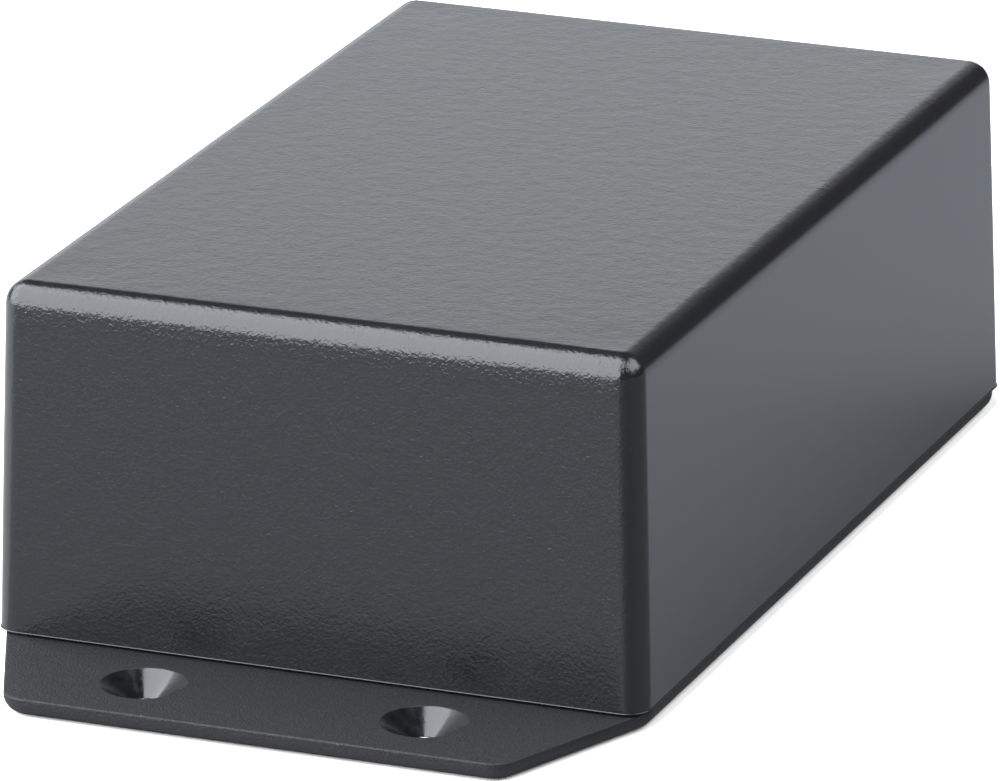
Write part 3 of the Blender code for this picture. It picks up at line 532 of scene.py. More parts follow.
def pointing_back(mesh, x, z):
    """Turn a mesh from the Z axis to point at the rear wall, on the line x, z."""
    return moved(mesh, Matrix.Translation((x, 0, z)) @ Matrix.Rotation(-math.pi / 2, 4, "X"))


def plain_ring(radius, z, steps):
    return [polar(radius, 2 * math.pi * i / steps, z) for i in range(steps)]


def plain_rings(profile, steps):
    return [plain_ring(radius, z, steps) for radius, z in profile]


def wound_ring(radius, depth, pitch, z, start, steps):
    """One ring of a right-hand thread: the crest winds upwards round the axis."""
    ring = []
    for i in range(steps):
        phase = ((z - start) / pitch - i / steps) % 1.0
        crest = min(1.0, max(0.0, 2.0 * abs(2.0 * phase - 1.0) - 0.5))
        ring.append(polar(radius - depth * (1.0 - crest), 2 * math.pi * i / steps, z))
    return ring


def thread_rings(radius, depth, pitch, low, high, steps, per_turn=8):
    """Rings up a thread that fades in at its foot."""
    count = max(2, round((high - low) / pitch * per_turn))
    rings = []
    for k in range(count + 1):
        z = low + (high - low) * k / count
        fade = min(1.0, 0.1 + (z - low) / pitch)
        rings.append(wound_ring(radius, depth * fade, pitch, z, low, steps))
    return rings


# ---------------------------------------------------------------- case cover
def middle(node):
    """The middle of a node's box."""
    low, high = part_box(node)
    return (low + high) / 2


shell_low, shell_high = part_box("case_shell")
base_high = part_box("flanged_base")[1]
CASE_BOTTOM, CASE_TOP = shell_low.z, shell_high.z
CASE_DRAFT = math.tan(math.radians(1.54))
CASE_WALL = 2.2 * MM
CASE_EDGE = 2.85 * MM
CEILING = CASE_TOP - CASE_WALL
insert_low, insert_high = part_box("thread_insert_rear_right")
POST = ((insert_low + insert_high) / 2).xy
POST_BOTTOM = insert_low.z - 0.2 * MM
board_low, board_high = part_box("circuit_board")
# The board's parts hang below it; their upper faces stop at the seat, just short of it.
SEAT = board_low.z - 0.02 * MM
STANDOFF = middle("board_screw_rear_right").xy
JACK = middle("server_jack_contact").xz
JACK_HOLE = 3.475 * MM
JACK_PITCH = 0.706 * MM
JACK_BORE = 2.35 * MM
BLOCK_BACK, BARREL_BACK, BLOCK_FRONT = 58.0 * MM, 58.6 * MM, 59.52 * MM
POWER_Z = middle("power_jack_pin").z
LAMP = middle("light_pipe").xz


def ring_at(half_x, half_y, radius, z, arc_steps=12, long_steps=44, short_steps=28):
    """A rounded rectangle's points at height z; every ring has the same count."""
    points = []
    far_x, far_y = half_x - radius, half_y - radius
    centres = [(far_x, -far_y), (far_x, far_y), (-far_x, far_y), (-far_x, -far_y)]
    for index, (cx, cy) in enumerate(centres):
        start = -90 + 90 * index
        arc = []
        for i in range(arc_steps + 1):
            turn = math.radians(start + 90 * i / arc_steps)
            arc.append(Vector((cx + radius * math.cos(turn), cy + radius * math.sin(turn), z)))
        points += arc
        nx, ny = centres[(index + 1) % 4]
        turn = math.radians(start + 90)
        following = Vector((nx + radius * math.cos(turn), ny + radius * math.sin(turn), z))
        steps = long_steps if index % 2 == 0 else short_steps
        points += [arc[-1].lerp(following, i / steps) for i in range(1, steps)]
    return points


def case_rings():
    """The cover's rings, from the middle of the top, down outside, and up inside."""
    half_x, half_y = shell_high.x, shell_high.y
    bead, land = 0.08 * MM, 0.05 * MM

    def at(z, inset=0.0, radius=CASE_EDGE):
        draft = (z - CASE_BOTTOM) * CASE_DRAFT
        return ring_at(half_x - draft - inset, half_y - draft - inset, max(radius, 0.0), z)

    rings = []
    top_steps, wall_steps, inner_steps, ceiling_steps = 26, 8, 4, 3
    wall_top = CASE_TOP - CASE_EDGE
    top_half = half_x - (wall_top - CASE_BOTTOM) * CASE_DRAFT - CASE_EDGE
    top_half_y = half_y - (wall_top - CASE_BOTTOM) * CASE_DRAFT - CASE_EDGE
    for i in range(top_steps):
        shrink = top_half * (1 - i / top_steps)
        rings.append(ring_at(top_half - shrink, top_half_y - shrink, 0.0, CASE_TOP))
    for turn in quarter(12):
        z = CASE_TOP - CASE_EDGE + CASE_EDGE * math.cos(turn)
        out = CASE_EDGE * math.sin(turn)
        rings.append(ring_at(top_half + out, top_half_y + out, out, z))
    wall_bottom = CASE_BOTTOM + land + bead
    for i in range(1, wall_steps + 1):
        rings.append(at(wall_top + (wall_bottom - wall_top) * i / wall_steps,
            inset=bead * (i / wall_steps) ** 3))
    for turn in quarter(5)[1:]:
        z = CASE_BOTTOM + land + bead * math.cos(turn)
        rings.append(at(z, inset=bead * (1 - math.sin(turn))))
    rings.append(at(CASE_BOTTOM))
    inner_radius = CASE_EDGE - CASE_WALL
    rings.append(at(CASE_BOTTOM, inset=CASE_WALL, radius=inner_radius))
    inner_top = CEILING - inner_radius
    last = inner_top - CASE_BOTTOM
    for i in range(1, inner_steps + 1):
        rings.append(at(CASE_BOTTOM + last * i / inner_steps, CASE_WALL, inner_radius))
    inner_x = half_x - last * CASE_DRAFT - CASE_WALL - inner_radius
    inner_y = half_y - last * CASE_DRAFT - CASE_WALL - inner_radius
    for turn in quarter(5)[1:]:
        out = inner_radius * math.cos(turn)
        z = inner_top + inner_radius * math.sin(turn)
        rings.append(ring_at(inner_x + out, inner_y + out, out, z))
    for i in range(1, ceiling_steps + 1):
        shrink = inner_x * i / ceiling_steps
        rings.append(ring_at(inner_x - shrink, inner_y - shrink, 0.0, CEILING))
    return rings


def sink_marks(mesh):
    """Faint dips in the top where the posts and standoffs shrank behind it."""
    marks = []
    for place, reach, depth in ((POST * 0.965, 4.4 * MM, 0.055 * MM),
            (STANDOFF, 3.2 * MM, 0.02 * MM)):
        marks += [(Vector((sx * place.x, sy * place.y)), reach, depth)
            for sx, sy in CORNERS.values()]
    for vert in mesh.vertices:
        if vert.co.z > CASE_TOP - 0.01 * MM:
            for centre, reach, depth in marks:
                away = (vert.co.xy - centre).length / reach
                vert.co.z -= depth * math.exp(-away * away)


# The rear wall's holes are cut between these two places along y.
WALL_HOLE_TOP, WALL_HOLE_BOTTOM = 64.5 * MM, 56.5 * MM


def make_case(plastic):
    """The drafted cover, with the posts, standoffs and rear wall holes of the case inside."""
    mesh = loft(case_rings(), cap=False)
    sink_marks(mesh)
    posts, holes = [], []
    foot = board_high.z + 0.3 * MM
    flare, over = POST_BOTTOM + 0.3 * MM, CEILING + 0.1 * MM
    for sx, sy in CORNERS.values():
        x, y = sx * POST.x, sy * POST.y
        out_x, out_y = x + sx * 3.3 * MM, y + sy * 3.3 * MM
        posts.append(turned_at([(0, over), (3.8 * MM, over), (3.8 * MM, flare),
            (3.5 * MM, POST_BOTTOM), (0, POST_BOTTOM)], x, y, 48))
        posts.append(box_mesh((min(x, out_x), min(y, out_y), flare),
            (max(x, out_x), max(y, out_y), over)))
        holes.append(turned_at(rod(2.6 * MM, 13.1 * MM, POST_BOTTOM - 1 * MM), x, y, 48))
        x, y = sx * STANDOFF.x, sy * STANDOFF.y
        posts.append(turned_at([(0, CEILING + 1 * MM), (3.25 * MM, CEILING + 1 * MM),
            (3.25 * MM, foot + 0.2 * MM), (3.05 * MM, foot), (0, foot)], x, y, 40))
        holes.append(turned_at(rod(1.35 * MM, 30.8 * MM, foot - 1 * MM), x, y, 28))
    for radius, x, z in ((JACK_HOLE, JACK.x, JACK.y), (JACK_HOLE, -JACK.x, JACK.y),
            (4.3 * MM, 0.0, POWER_Z), (1.8 * MM, LAMP.x, LAMP.y)):
        hole = turned_mesh(rod(radius, WALL_HOLE_TOP, WALL_HOLE_BOTTOM), 64)
        holes.append(pointing_back(hole, x, z))
    mesh = cut(cut(mesh, posts, "UNION"), holes)
    weigh_normals(link("case_cover", mesh, [plastic], nodes=["case_shell"]))


# ---------------------------------------------------------------- base plate
PLATE_TOP = 2.45 * MM
PLATE_EDGE = 2.2 * MM
PLATE_LIP = 0.2 * MM
TONGUE_TOP = 5.2 * MM
PLATE_SHOULDER = 59.1 * MM
FIXING = Vector((17.15, 71.5)) * MM
FIXING_SINK = 5.0 * MM
FIXING_HOLE = 1.55 * MM
SINK_SLOPE = math.tan(math.radians(55.2))


def plate_ring(inset, z, arc_steps=10):
    """The plate's rounded outline, moved in by inset."""
    end_x, side_x = 30.3 * MM, base_high.x
    end_y, shoulder_y = base_high.y, PLATE_SHOULDER
    right = [(end_x, -end_y), (side_x, -shoulder_y), (side_x, shoulder_y), (end_x, end_y)]
    corners = [Vector(point) for point in right] + [Vector((-x, -y)) for x, y in right]
    radius = 3.2 * MM
    ring = []
    for i, here in enumerate(corners):
        back = (corners[i - 1] - here).normalized()
        ahead = (corners[(i + 1) % len(corners)] - here).normalized()
        half = back.angle(ahead) / 2
        centre = here + (back + ahead).normalized() * radius / math.sin(half)
        start = (here + back * radius / math.tan(half) - centre).normalized() * (radius - inset)
        for step in range(arc_steps + 1):
            turn = Matrix.Rotation((math.pi - 2 * half) * step / arc_steps, 2)
            ring.append(Vector((*(centre + turn @ start), z)))
    return ring


def plate_body():
    """The plate with its rounded lower edge and its sharper upper one, without holes."""
    rings = [plate_ring(3.1 * MM, 0.0)]
    for turn in quarter(8):
        rings.append(plate_ring(PLATE_EDGE * (1 - math.sin(turn)),
            PLATE_EDGE * (1 - math.cos(turn))))
    for turn in quarter(4):
        rings.append(plate_ring(PLATE_LIP * (1 - math.cos(turn)),
            PLATE_TOP - PLATE_LIP + PLATE_LIP * math.sin(turn)))
    rings += [plate_ring(0.45 * MM, PLATE_TOP), plate_ring(0.9 * MM, PLATE_TOP)]
    return loft(rings)


def tongue_and_bosses():
    """The rim that goes inside the cover's mouth, and the four screw bosses."""
    def rounded(half_x, half_y, radius, z):
        return ring_at(half_x * MM, half_y * MM, radius * MM, z, 6, 1, 1)

    foot = PLATE_TOP - 0.5 * MM
    rings = [rounded(37.4, 59.9, 1.6, foot), rounded(37.4, 59.9, 1.6, TONGUE_TOP - 0.35 * MM),
        rounded(37.05, 59.55, 1.25, TONGUE_TOP), rounded(36.1, 58.6, 0.4, TONGUE_TOP),
        rounded(35.9, 58.4, 0.3, TONGUE_TOP - 0.2 * MM), rounded(35.9, 58.4, 0.3, foot)]
    made = [closed_loft(rings)]
    for sx, sy in CORNERS.values():
        xs = sorted((sx * 37.1 * MM, sx * 29.9 * MM))
        ys = sorted((sy * 59.6 * MM, sy * 52.4 * MM))
        made.append(box_mesh((xs[0], ys[0], foot), (xs[1], ys[1], base_high.z), 0.3 * MM))
    return made


def plate_holes():
    """Cutters for the lid screws' countersinks and for the fixing holes with their sinks."""
    made = []
    over = base_high.z + 1 * MM
    bottom = PLATE_TOP - (FIXING_SINK - FIXING_HOLE) / SINK_SLOPE
    for sx, sy in CORNERS.values():
        made.append(turned_at([(0, over), (1.8 * MM, over), (1.8 * MM, 1.8 * MM),
            (3.25 * MM, 0.35 * MM), (3.25 * MM, 0.1 * MM), (3.4 * MM, 0), (3.4 * MM, -1 * MM),
            (0, -1 * MM)], sx * POST.x, sy * POST.y, 64))
        made.append(turned_at([(0, 4 * MM), (FIXING_SINK + 0.1 * MM, 4 * MM),
            (FIXING_SINK + 0.1 * MM, PLATE_TOP), (FIXING_SINK + 0.02 * MM, PLATE_TOP - 0.02 * MM),
            (FIXING_SINK - 0.08 * MM, PLATE_TOP - 0.09 * MM), (FIXING_HOLE, bottom),
            (FIXING_HOLE, -1 * MM), (0, -1 * MM)], sx * FIXING.x, sy * FIXING.y, 96))
    return made


def make_base(plastic, sink_look):
    """The plate, with the sinks in their own look and its worn upper edge marked."""
    mesh = cut(cut(plate_body(), tongue_and_bosses(), "UNION"), plate_holes(), angle=ROUND)
    for face in mesh.polygons:
        away = math.hypot(abs(face.center.x) - FIXING.x, abs(face.center.y) - FIXING.y)
        face.material_index = int(away < FIXING_SINK and 0.05 < face.normal.z < 0.95)
    mark = mesh.attributes.new("edge", "FLOAT", "POINT")
    for vert in mesh.vertices:
        x, y, z = abs(vert.co.x), abs(vert.co.y), vert.co.z
        on_edge = PLATE_TOP - 0.25 * MM < z < PLATE_TOP + 0.01 * MM and y > 58 * MM
        far = math.hypot(x - FIXING.x, y - FIXING.y) > FIXING_SINK + 1 * MM
        end_in = base_high.y - y
        side_in = (base_high.x - x) * 0.92 - (y - PLATE_SHOULDER) * 0.392
        mark.data[vert.index].value = float(on_edge and far and min(end_in, side_in) < 0.3 * MM)
    weigh_normals(link("base_plate", mesh, [plastic, sink_look], "base", ["flanged_base"],
        "case_plastic"))


# ---------------------------------------------------------------- rear connectors
def jack_barrel_mesh(high):
    """The threaded barrel, which still stands along Z."""
    steps = 48
    outer = 3.175 * MM
    rings = plain_rings(((JACK_BORE, BARREL_BACK), (outer, BARREL_BACK),
        (outer, BLOCK_FRONT + 0.5 * MM)), steps)
    rings += thread_rings(outer, 0.36 * MM, JACK_PITCH, BLOCK_FRONT + 0.6 * MM, high.y - 0.5 * MM,
        steps)
    rings += plain_rings(((outer - 0.32 * MM, high.y - 0.4 * MM), (outer - 0.62 * MM, high.y),
        (JACK_BORE + 0.08 * MM, high.y), (JACK_BORE, high.y - 0.08 * MM)), steps)
    return closed_loft(rings, ROUND)


def make_antenna_jack(end, side, gold, ptfe, steel):
    """A board-edge jack: barrel, block and legs, its two inner parts, washer and nut."""
    node = f"{end}_antenna_jack"
    low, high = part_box(node)
    x = side * JACK.x
    barrel = pointing_back(jack_barrel_mesh(high), x, JACK.y)
    half = 3.4 * MM
    block = box_mesh((x - half, BLOCK_BACK, JACK.y - half), (x + half, BLOCK_FRONT, high.z),
        0.15 * MM)
    legs = []
    for z_low, z_high in ((board_high.z, board_high.z + 1.5 * MM),
            (board_low.z - 1.5 * MM, board_low.z)):
        for leg_x in (x - 2.6 * MM, x + 2.6 * MM):
            legs.append(box_mesh((leg_x - 0.6 * MM, low.y, z_low),
                (leg_x + 0.6 * MM, BLOCK_BACK + 0.5 * MM, z_high), 0.12 * MM))
    bore = turned_mesh(rod(JACK_BORE, BLOCK_FRONT + 0.05 * MM, BLOCK_BACK - 1 * MM), 48)
    block = cut(cut(block, legs, "UNION"), [pointing_back(bore, x, JACK.y)], angle=ROUND)
    link(node, joined(barrel, block), [gold])

    node = f"{end}_jack_insulator"
    low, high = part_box(node)
    profile = profile_mm(high.y, (0.9, 0), (1.9, 0), (2.02, -0.1), (2.05, -0.3))
    profile += profile_mm(low.y, (2.05, 0), (0.9, 0))
    link(node, pointing_back(turned_mesh(profile, 56, closed=True), x, JACK.y), [ptfe])

    node = f"{end}_jack_contact"
    low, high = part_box(node)
    profile = profile_mm(high.y, (0, -2.9), (0.27, -2.8), (0.27, -0.05), (0.42, 0), (0.55, -0.12),
        (0.6, -0.35))
    pin = turned_mesh(profile + profile_mm(low.y, (0.6, 0), (0, 0)), 32, ROUND)
    slits = [box_mesh((-a * MM, -b * MM, high.y - 2.4 * MM), (a * MM, b * MM, high.y + 0.1 * MM))
        for a, b in ((1.0, 0.08), (0.08, 1.0))]
    link(node, pointing_back(cut(pin, slits, angle=ROUND), x, JACK.y), [gold])

    node = f"{end}_lock_washer"
    low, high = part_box(node)
    washer = washer_mesh((high.x - low.x) / 2, low.y, high.y)
    link(node, pointing_back(washer, x, JACK.y), [steel])

    node = f"{end}_jack_nut"
    low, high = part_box(node)
    link(node, pointing_back(nut_mesh(low.y, high.y), x, JACK.y), [gold])


def washer_mesh(radius, low, high):
    """A toothed lock washer: each outer tooth is twisted out of the ring's plane."""
    teeth, fine = 12, 12
    steps = teeth * fine
    level, thick = (low + high) / 2, 0.16 * MM
    waist = 3.95 * MM

    def ring(radius_in, radius_out, lift, side):
        points = []
        for i in range(steps):
            part = (i % fine) / fine
            tooth = 1.0 if part < 0.62 else 0.0
            r = radius_in + (radius_out - radius_in) * tooth
            twist = lift * tooth * (part / 0.31 - 1.0)
            points.append(polar(r, 2 * math.pi * i / steps, level + side * thick + twist))
        return points

    lift = (high - low) / 2 - thick
    rings = [ring(JACK_HOLE, JACK_HOLE, 0, -1), ring(waist, waist, 0, -1),
        ring(waist, radius, lift, -1), ring(waist, radius, lift, 1), ring(waist, waist, 0, 1),
        ring(JACK_HOLE, JACK_HOLE, 0, 1)]
    return closed_loft(rings, angle=25)


def nut_mesh(low, high):
    """A hexagonal nut with turned chamfers and a threaded bore."""
    steps = 96
    corner = 4.62 * MM
    flat = corner * math.cos(math.pi / 6)

    def hexagon(z, limit):
        points = []
        for i in range(steps):
            turn = 2 * math.pi * i / steps
            facet = (turn + math.pi / 6) % (math.pi / 3) - math.pi / 6
            points.append(polar(min(flat / math.cos(facet), limit), turn, z))
        return points

    drop = corner - flat
    mouth = JACK_HOLE + 0.15 * MM
    levels = 5
    limits = [flat - 0.05 * MM + (drop + 0.06 * MM) * k / levels for k in range(levels + 1)]
    lower = [hexagon(low + 0.33 * MM * k / levels, limits[k]) for k in range(levels + 1)]
    upper = [hexagon(high - 0.33 * MM * k / levels, limits[k]) for k in range(levels, -1, -1)]
    rings = [plain_ring(mouth, low, steps)] + lower + upper + [plain_ring(mouth, high, steps)]
    turns = 24
    for k in range(turns + 1):
        z = high - 0.1 * MM - (high - low - 0.2 * MM) * k / turns
        rings.append(wound_ring(JACK_HOLE, 0.2 * MM, JACK_PITCH, z, low, steps))
    return closed_loft(rings, angle=30)


def make_power_jack(plastic, tin):
    """The inlet's housing with its round collar and socket, and the split centre pin."""
    node = "power_jack_housing"
    low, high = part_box(node)
    end, front = high.y, low.y + 14.0 * MM
    housing = box_mesh(low, (high.x, front, SEAT), 0.35 * MM, 3)
    cutters = [box_mesh((low.x + 1.2 * MM, low.y - 0.3 * MM, low.z - 1 * MM),
        (high.x - 1.2 * MM, low.y + 3.2 * MM, low.z + 0.5 * MM))]
    for side in (-1, 1):
        x = side * high.x
        cutters.append(box_mesh((x - 0.25 * MM, low.y + 3.4 * MM, low.z + 1.2 * MM),
            (x + 0.25 * MM, front - 1.5 * MM, low.z + 1.6 * MM)))
    collar = turned_mesh(profile_mm(end, (0, 0), (3.75, 0), (3.93, -0.08), (4.0, -0.25))
        + profile_mm(front, (4.0, -1), (0, -1)), 72)
    floor_y = end - 9.5 * MM
    socket = turned_mesh(profile_mm(end, (0, 1), (3.6, 1), (3.25, 0), (3.1, -0.25))
        + [(3.1 * MM, floor_y), (0, floor_y)], 72)
    pin_hole = turned_mesh(rod(1.35 * MM, floor_y + 1 * MM, low.y - 1 * MM), 32)
    collar, socket, pin_hole = (pointing_back(mesh, 0, POWER_Z)
        for mesh in (collar, socket, pin_hole))
    mesh = cut(housing, [collar], "UNION")
    link(node, cut(mesh, [socket, pin_hole] + cutters, angle=ROUND), [plastic])

    node = "power_jack_pin"
    low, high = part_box(node)
    radius = (high.x - low.x) / 2
    pin = turned_mesh([(0, high.y), (radius * 0.55, high.y - 0.03 * MM),
        (radius * 0.85, high.y - 0.25 * MM), (radius, high.y - 0.7 * MM),
        (radius, low.y + 0.2 * MM), (radius * 0.8, low.y), (0, low.y)], 40, ROUND)
    slit = box_mesh((-0.12 * MM, -2 * MM, high.y - 5 * MM), (0.12 * MM, 2 * MM, high.y + 1 * MM))
    link(node, pointing_back(cut(pin, [slit], angle=ROUND), 0, POWER_Z), [tin])


def make_lamp(acrylic, lamp_look):
    """The domed light pipe in the wall, and the lamp with its lens behind it."""
    low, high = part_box("light_pipe")
    radius, flange = 1.5 * MM, (high.x - low.x) / 2
    end = 59.56 * MM
    dome = 0.35 * MM
    profile = [(radius * math.sin(turn), high.y - dome * (1 - math.cos(turn)))
        for turn in quarter(6)]
    profile += [(radius, end), (flange - 0.1 * MM, end), (flange, end - 0.1 * MM),
        (flange, end - 0.6 * MM), (flange - 0.1 * MM, end - 0.7 * MM), (radius, end - 0.7 * MM),
        (radius, low.y + 0.1 * MM), (radius - 0.1 * MM, low.y), (0, low.y)]
    pipe = turned_mesh(profile, 48, ROUND)
    link("light_pipe", pointing_back(pipe, LAMP.x, LAMP.y), [acrylic])
    low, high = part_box("status_lamp")
    body = box_mesh(low, (high.x, high.y - 1 * MM, SEAT), 0.25 * MM, 3)
    lens = turned_mesh(profile_mm(high.y, (0, 0), (0.5, -0.08), (0.9, -0.28), (1.2, -0.6),
        (1.3, -1.5), (0, -1.5)), 40)
    mesh = cut(body, [pointing_back(lens, LAMP.x, LAMP.y)], "UNION", ROUND)
    link("status_lamp", mesh, [lamp_look])


# ---------------------------------------------------------------- screws and inserts
LID_PITCH = 0.5 * MM


def cross_cutters(head_z, reach, width, depth):
    """The tapering wings of a cross recess that opens downwards at head_z."""
    wings = []
    for a, b in ((reach, width), (width, reach)):
        rings = [[Vector((sx * a * k, sy * b * k, z))
            for sx, sy in ((-1, -1), (1, -1), (1, 1), (-1, 1))]
            for z, k in ((head_z - 0.2 * MM, 1.06), (head_z, 1.0), (head_z + depth, 0.62))]
        wings.append(loft(rings))
    return wings


def lid_screw_mesh(low, high):
    """A countersunk machine screw, head down, on the Z axis."""
    steps = 36
    head = (high.x - low.x) / 2
    core = head - 1.40 * MM
    z = low.z
    neck = z + 0.2 * MM + head - core
    rings = plain_rings(((head - 0.12 * MM, z), (head - 0.03 * MM, z + 0.03 * MM),
        (head, z + 0.1 * MM), (head, z + 0.2 * MM), (core + 0.12 * MM, neck - 0.12 * MM),
        (core, neck + 0.15 * MM), (core, neck + 0.6 * MM)), steps)
    rings += thread_rings(core, 0.24 * MM, LID_PITCH, neck + 0.65 * MM, high.z - 0.5 * MM, steps)
    rings += plain_rings(((core - 0.3 * MM, high.z - 0.2 * MM), (core - 0.6 * MM, high.z)), steps)
    return cut(loft(rings), cross_cutters(z, 1.5 * MM, 0.36 * MM, 1.1 * MM), angle=ROUND)


def board_screw_mesh(low, high):
    """A pan-head thread-forming screw, head down, on the Z axis."""
    steps = 36
    head = (high.x - low.x) / 2
    core, crown = 1.0 * MM, 0.9 * MM
    profile = [(head - crown * (1 - math.sin(turn)), low.z + crown * (1 - math.cos(turn)))
        for turn in quarter(6)]
    profile += [(head, SEAT - 0.08 * MM), (head - 0.08 * MM, SEAT), (core, SEAT + 0.01 * MM),
        (core, SEAT + 0.5 * MM)]
    rings = plain_rings(profile, steps)
    rings += thread_rings(core, 0.3 * MM, 0.9 * MM, SEAT + 0.6 * MM, high.z - 0.8 * MM, steps, 10)
    rings += plain_rings(((core * 0.55, high.z - 0.3 * MM), (0.1 * MM, high.z)), steps)
    return cut(loft(rings), cross_cutters(low.z, 1.3 * MM, 0.32 * MM, 1.0 * MM), angle=ROUND)


def insert_mesh(low, high):
    """A knurled brass insert with a waist and a threaded bore."""
    steps = 96
    outer = (high.x - low.x) / 2
    bore = 1.75 * MM
    length = high.z - low.z

    def knurl(radius, part, depth):
        z = low.z + length * part
        return [polar(radius - depth * (i % 3 == 0), 2 * math.pi * i / steps, z)
            for i in range(steps)]

    rings = [plain_ring(outer - 0.15 * MM, low.z, steps)]
    for band_low, band_high in ((0.03, 0.30), (0.42, 0.60), (0.72, 0.97)):
        rings += [knurl(outer - 0.12 * MM, band_low, 0.0),
            knurl(outer, band_low + 0.02, 0.12 * MM), knurl(outer, band_high - 0.02, 0.12 * MM),
            knurl(outer - 0.12 * MM, band_high, 0.0)]
        if band_high < 0.9:
            rings += [plain_ring(outer - 0.3 * MM, low.z + length * (band_high + part), steps)
                for part in (0.03, 0.09)]
    rings += plain_rings(((outer - 0.15 * MM, high.z), (bore, high.z)), steps)
    turns = 88
    for k in range(turns + 1):
        z = high.z - (length - 0.4 * MM) * k / turns - 0.2 * MM
        rings.append(wound_ring(bore, 0.16 * MM, LID_PITCH, z, low.z, steps))
    rings.append(plain_ring(bore, low.z, steps))
    return closed_loft(rings, ROUND)


# ---------------------------------------------------------------- board and its parts
def pads(centres, half_x, half_y, low_z, high_z):
    """Small chamfered blocks at a list of (x, y, turned) centres, as one mesh."""
    bm = bmesh.new()
    for x, y, turned in centres:
        a, b = (half_y, half_x) if turned else (half_x, half_y)
        size = Matrix.Diagonal((2 * a, 2 * b, high_z - low_z, 1.0))
        place = Matrix.Translation((x, y, (low_z + high_z) / 2)) @ size
        made = bmesh.ops.create_cube(bm, size=1.0, matrix=place)
        edges = {edge for vert in made["verts"] for edge in vert.link_edges}
        bmesh.ops.bevel(bm, geom=list(edges), offset=min(a, b, (high_z - low_z) / 2) * 0.3,
            segments=1, affect="EDGES")
    return finished(bm)


def edge_places(low, high, count, margin):
    """Places for a package's leads: count on each of its four sides."""
    centre = (low + high) / 2
    places = []
    for k in range(count):
        along = (k - (count - 1) / 2) / max(1, count - 1)
        x = centre.x + along * (high.x - low.x - 2 * margin)
        y = centre.y + along * (high.y - low.y - 2 * margin)
        places += [(x, low.y, True), (x, high.y, True), (low.x, y, False), (high.x, y, False)]
    return places


def block_at(x, y, half_x, half_y, low_z, high_z, chamfer=0.0):
    """A block round a place on the board."""
    return box_mesh((x - half_x, y - half_y, low_z), (x + half_x, y + half_y, high_z), chamfer)


def make_chip(node, leads, epoxy, tin):
    """A moulded package with a pin-one dimple and soldered edge pads."""
    low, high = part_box(node)
    body = box_mesh((low.x + 0.12 * MM, low.y + 0.12 * MM, low.z), (high.x - 0.12 * MM,
        high.y - 0.12 * MM, board_low.z - 0.06 * MM), 0.12 * MM)
    dimple = turned_at(profile_mm(low.z, (0, 0.1), (0.42, 0.08), (0.5, -0.2), (0, -0.2)),
        low.x + 1.1 * MM, low.y + 1.1 * MM, 28)
    width = 0.34 * (high.x - low.x - 1.2 * MM) / leads
    inset = Vector((0.2, 0.2, 0)) * MM
    feet = pads(edge_places(low + inset, high - inset, leads, 0.75 * MM), 0.34 * MM, width,
        board_low.z - 0.3 * MM, board_low.z - 0.005 * MM)
    assemble(node, [(cut(body, [dimple]), epoxy), (feet, tin)])


def make_regulator(epoxy, tin):
    """A three-legged power package with a soldered tab."""
    node = "voltage_regulator"
    low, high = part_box(node)
    body = box_mesh((low.x, low.y + 1.3 * MM, low.z),
        (high.x, high.y - 0.9 * MM, board_low.z - 0.1 * MM), 0.25 * MM)
    metal_parts = [box_mesh((low.x + 0.4 * MM, high.y - 1.0 * MM, board_low.z - 0.55 * MM),
        (high.x - 0.4 * MM, high.y, SEAT), 0.08 * MM)]
    knee, shin, foot = low.z + 1.0 * MM, low.y + 0.5 * MM, low.y + 0.9 * MM
    for k in (-1, 0, 1):
        left, right = k * 2.28 * MM - 0.35 * MM, k * 2.28 * MM + 0.35 * MM
        lead = ((left, low.y + 0.6 * MM, knee), (right, low.y + 1.4 * MM, low.z + 1.4 * MM))
        drop = ((left, shin, knee), (right, foot, SEAT))
        toe = ((left, low.y, board_low.z - 0.4 * MM), (right, foot, SEAT))
        metal_parts += [box_mesh(*corners, 0.06 * MM) for corners in (lead, drop, toe)]
    assemble(node, [(body, epoxy), (joined(*metal_parts), tin)])


def make_oscillator(tin):
    """A welded metal can on its rim."""
    node = "reference_oscillator"

    def ring(half_x, half_y, radius, z):
        return ring_at(half_x * MM, half_y * MM, radius * MM, z, 6, 1, 1)

    low_z, rim_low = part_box(node)[0].z, board_low.z - 0.5 * MM
    can = loft([ring(3.0, 2.0, 0.6, low_z), ring(3.2, 2.2, 0.7, low_z + 0.2 * MM),
        ring(3.2, 2.2, 0.7, rim_low)])
    rim = loft([ring(3.5, 2.5, 0.9, rim_low), ring(3.5, 2.5, 0.9, SEAT)])
    centre = middle(node)
    link(node, moved(joined(can, rim), Matrix.Translation((centre.x, centre.y, 0))), [tin])


def make_inductor(ferrite, tin):
    """A shielded power coil: a rounded ferrite block with a dished face and two end pads."""
    node = "power_inductor"
    low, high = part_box(node)
    centre = (low + high) / 2
    half = (high.x - low.x) / 2
    place = Vector((centre.x, centre.y, 0))
    rings = []
    for z, inset, radius in ((low.z, 0.5, 0.9), (low.z + 0.15 * MM, 0.12, 1.2),
            (low.z + 0.5 * MM, 0, 1.3), (board_low.z - 0.7 * MM, 0, 1.3),
            (board_low.z - 0.3 * MM, 0.1, 1.2)):
        side = half - inset * MM
        rings.append([point + place for point in ring_at(side, side, radius * MM, z, 8, 1, 1)])
    dish = turned_at(profile_mm(low.z, (0, 0.12), (2.8, 0.12), (3.0, -1), (0, -1)), centre.x,
        centre.y, 56)
    ends = [block_at(centre.x + side * half * 0.62, centre.y, 1.3 * MM, 1.5 * MM,
        board_low.z - 0.35 * MM, SEAT, 0.08 * MM) for side in (-1, 1)]
    assemble(node, [(cut(loft(rings), [dish]), ferrite), (joined(*ends), tin)])


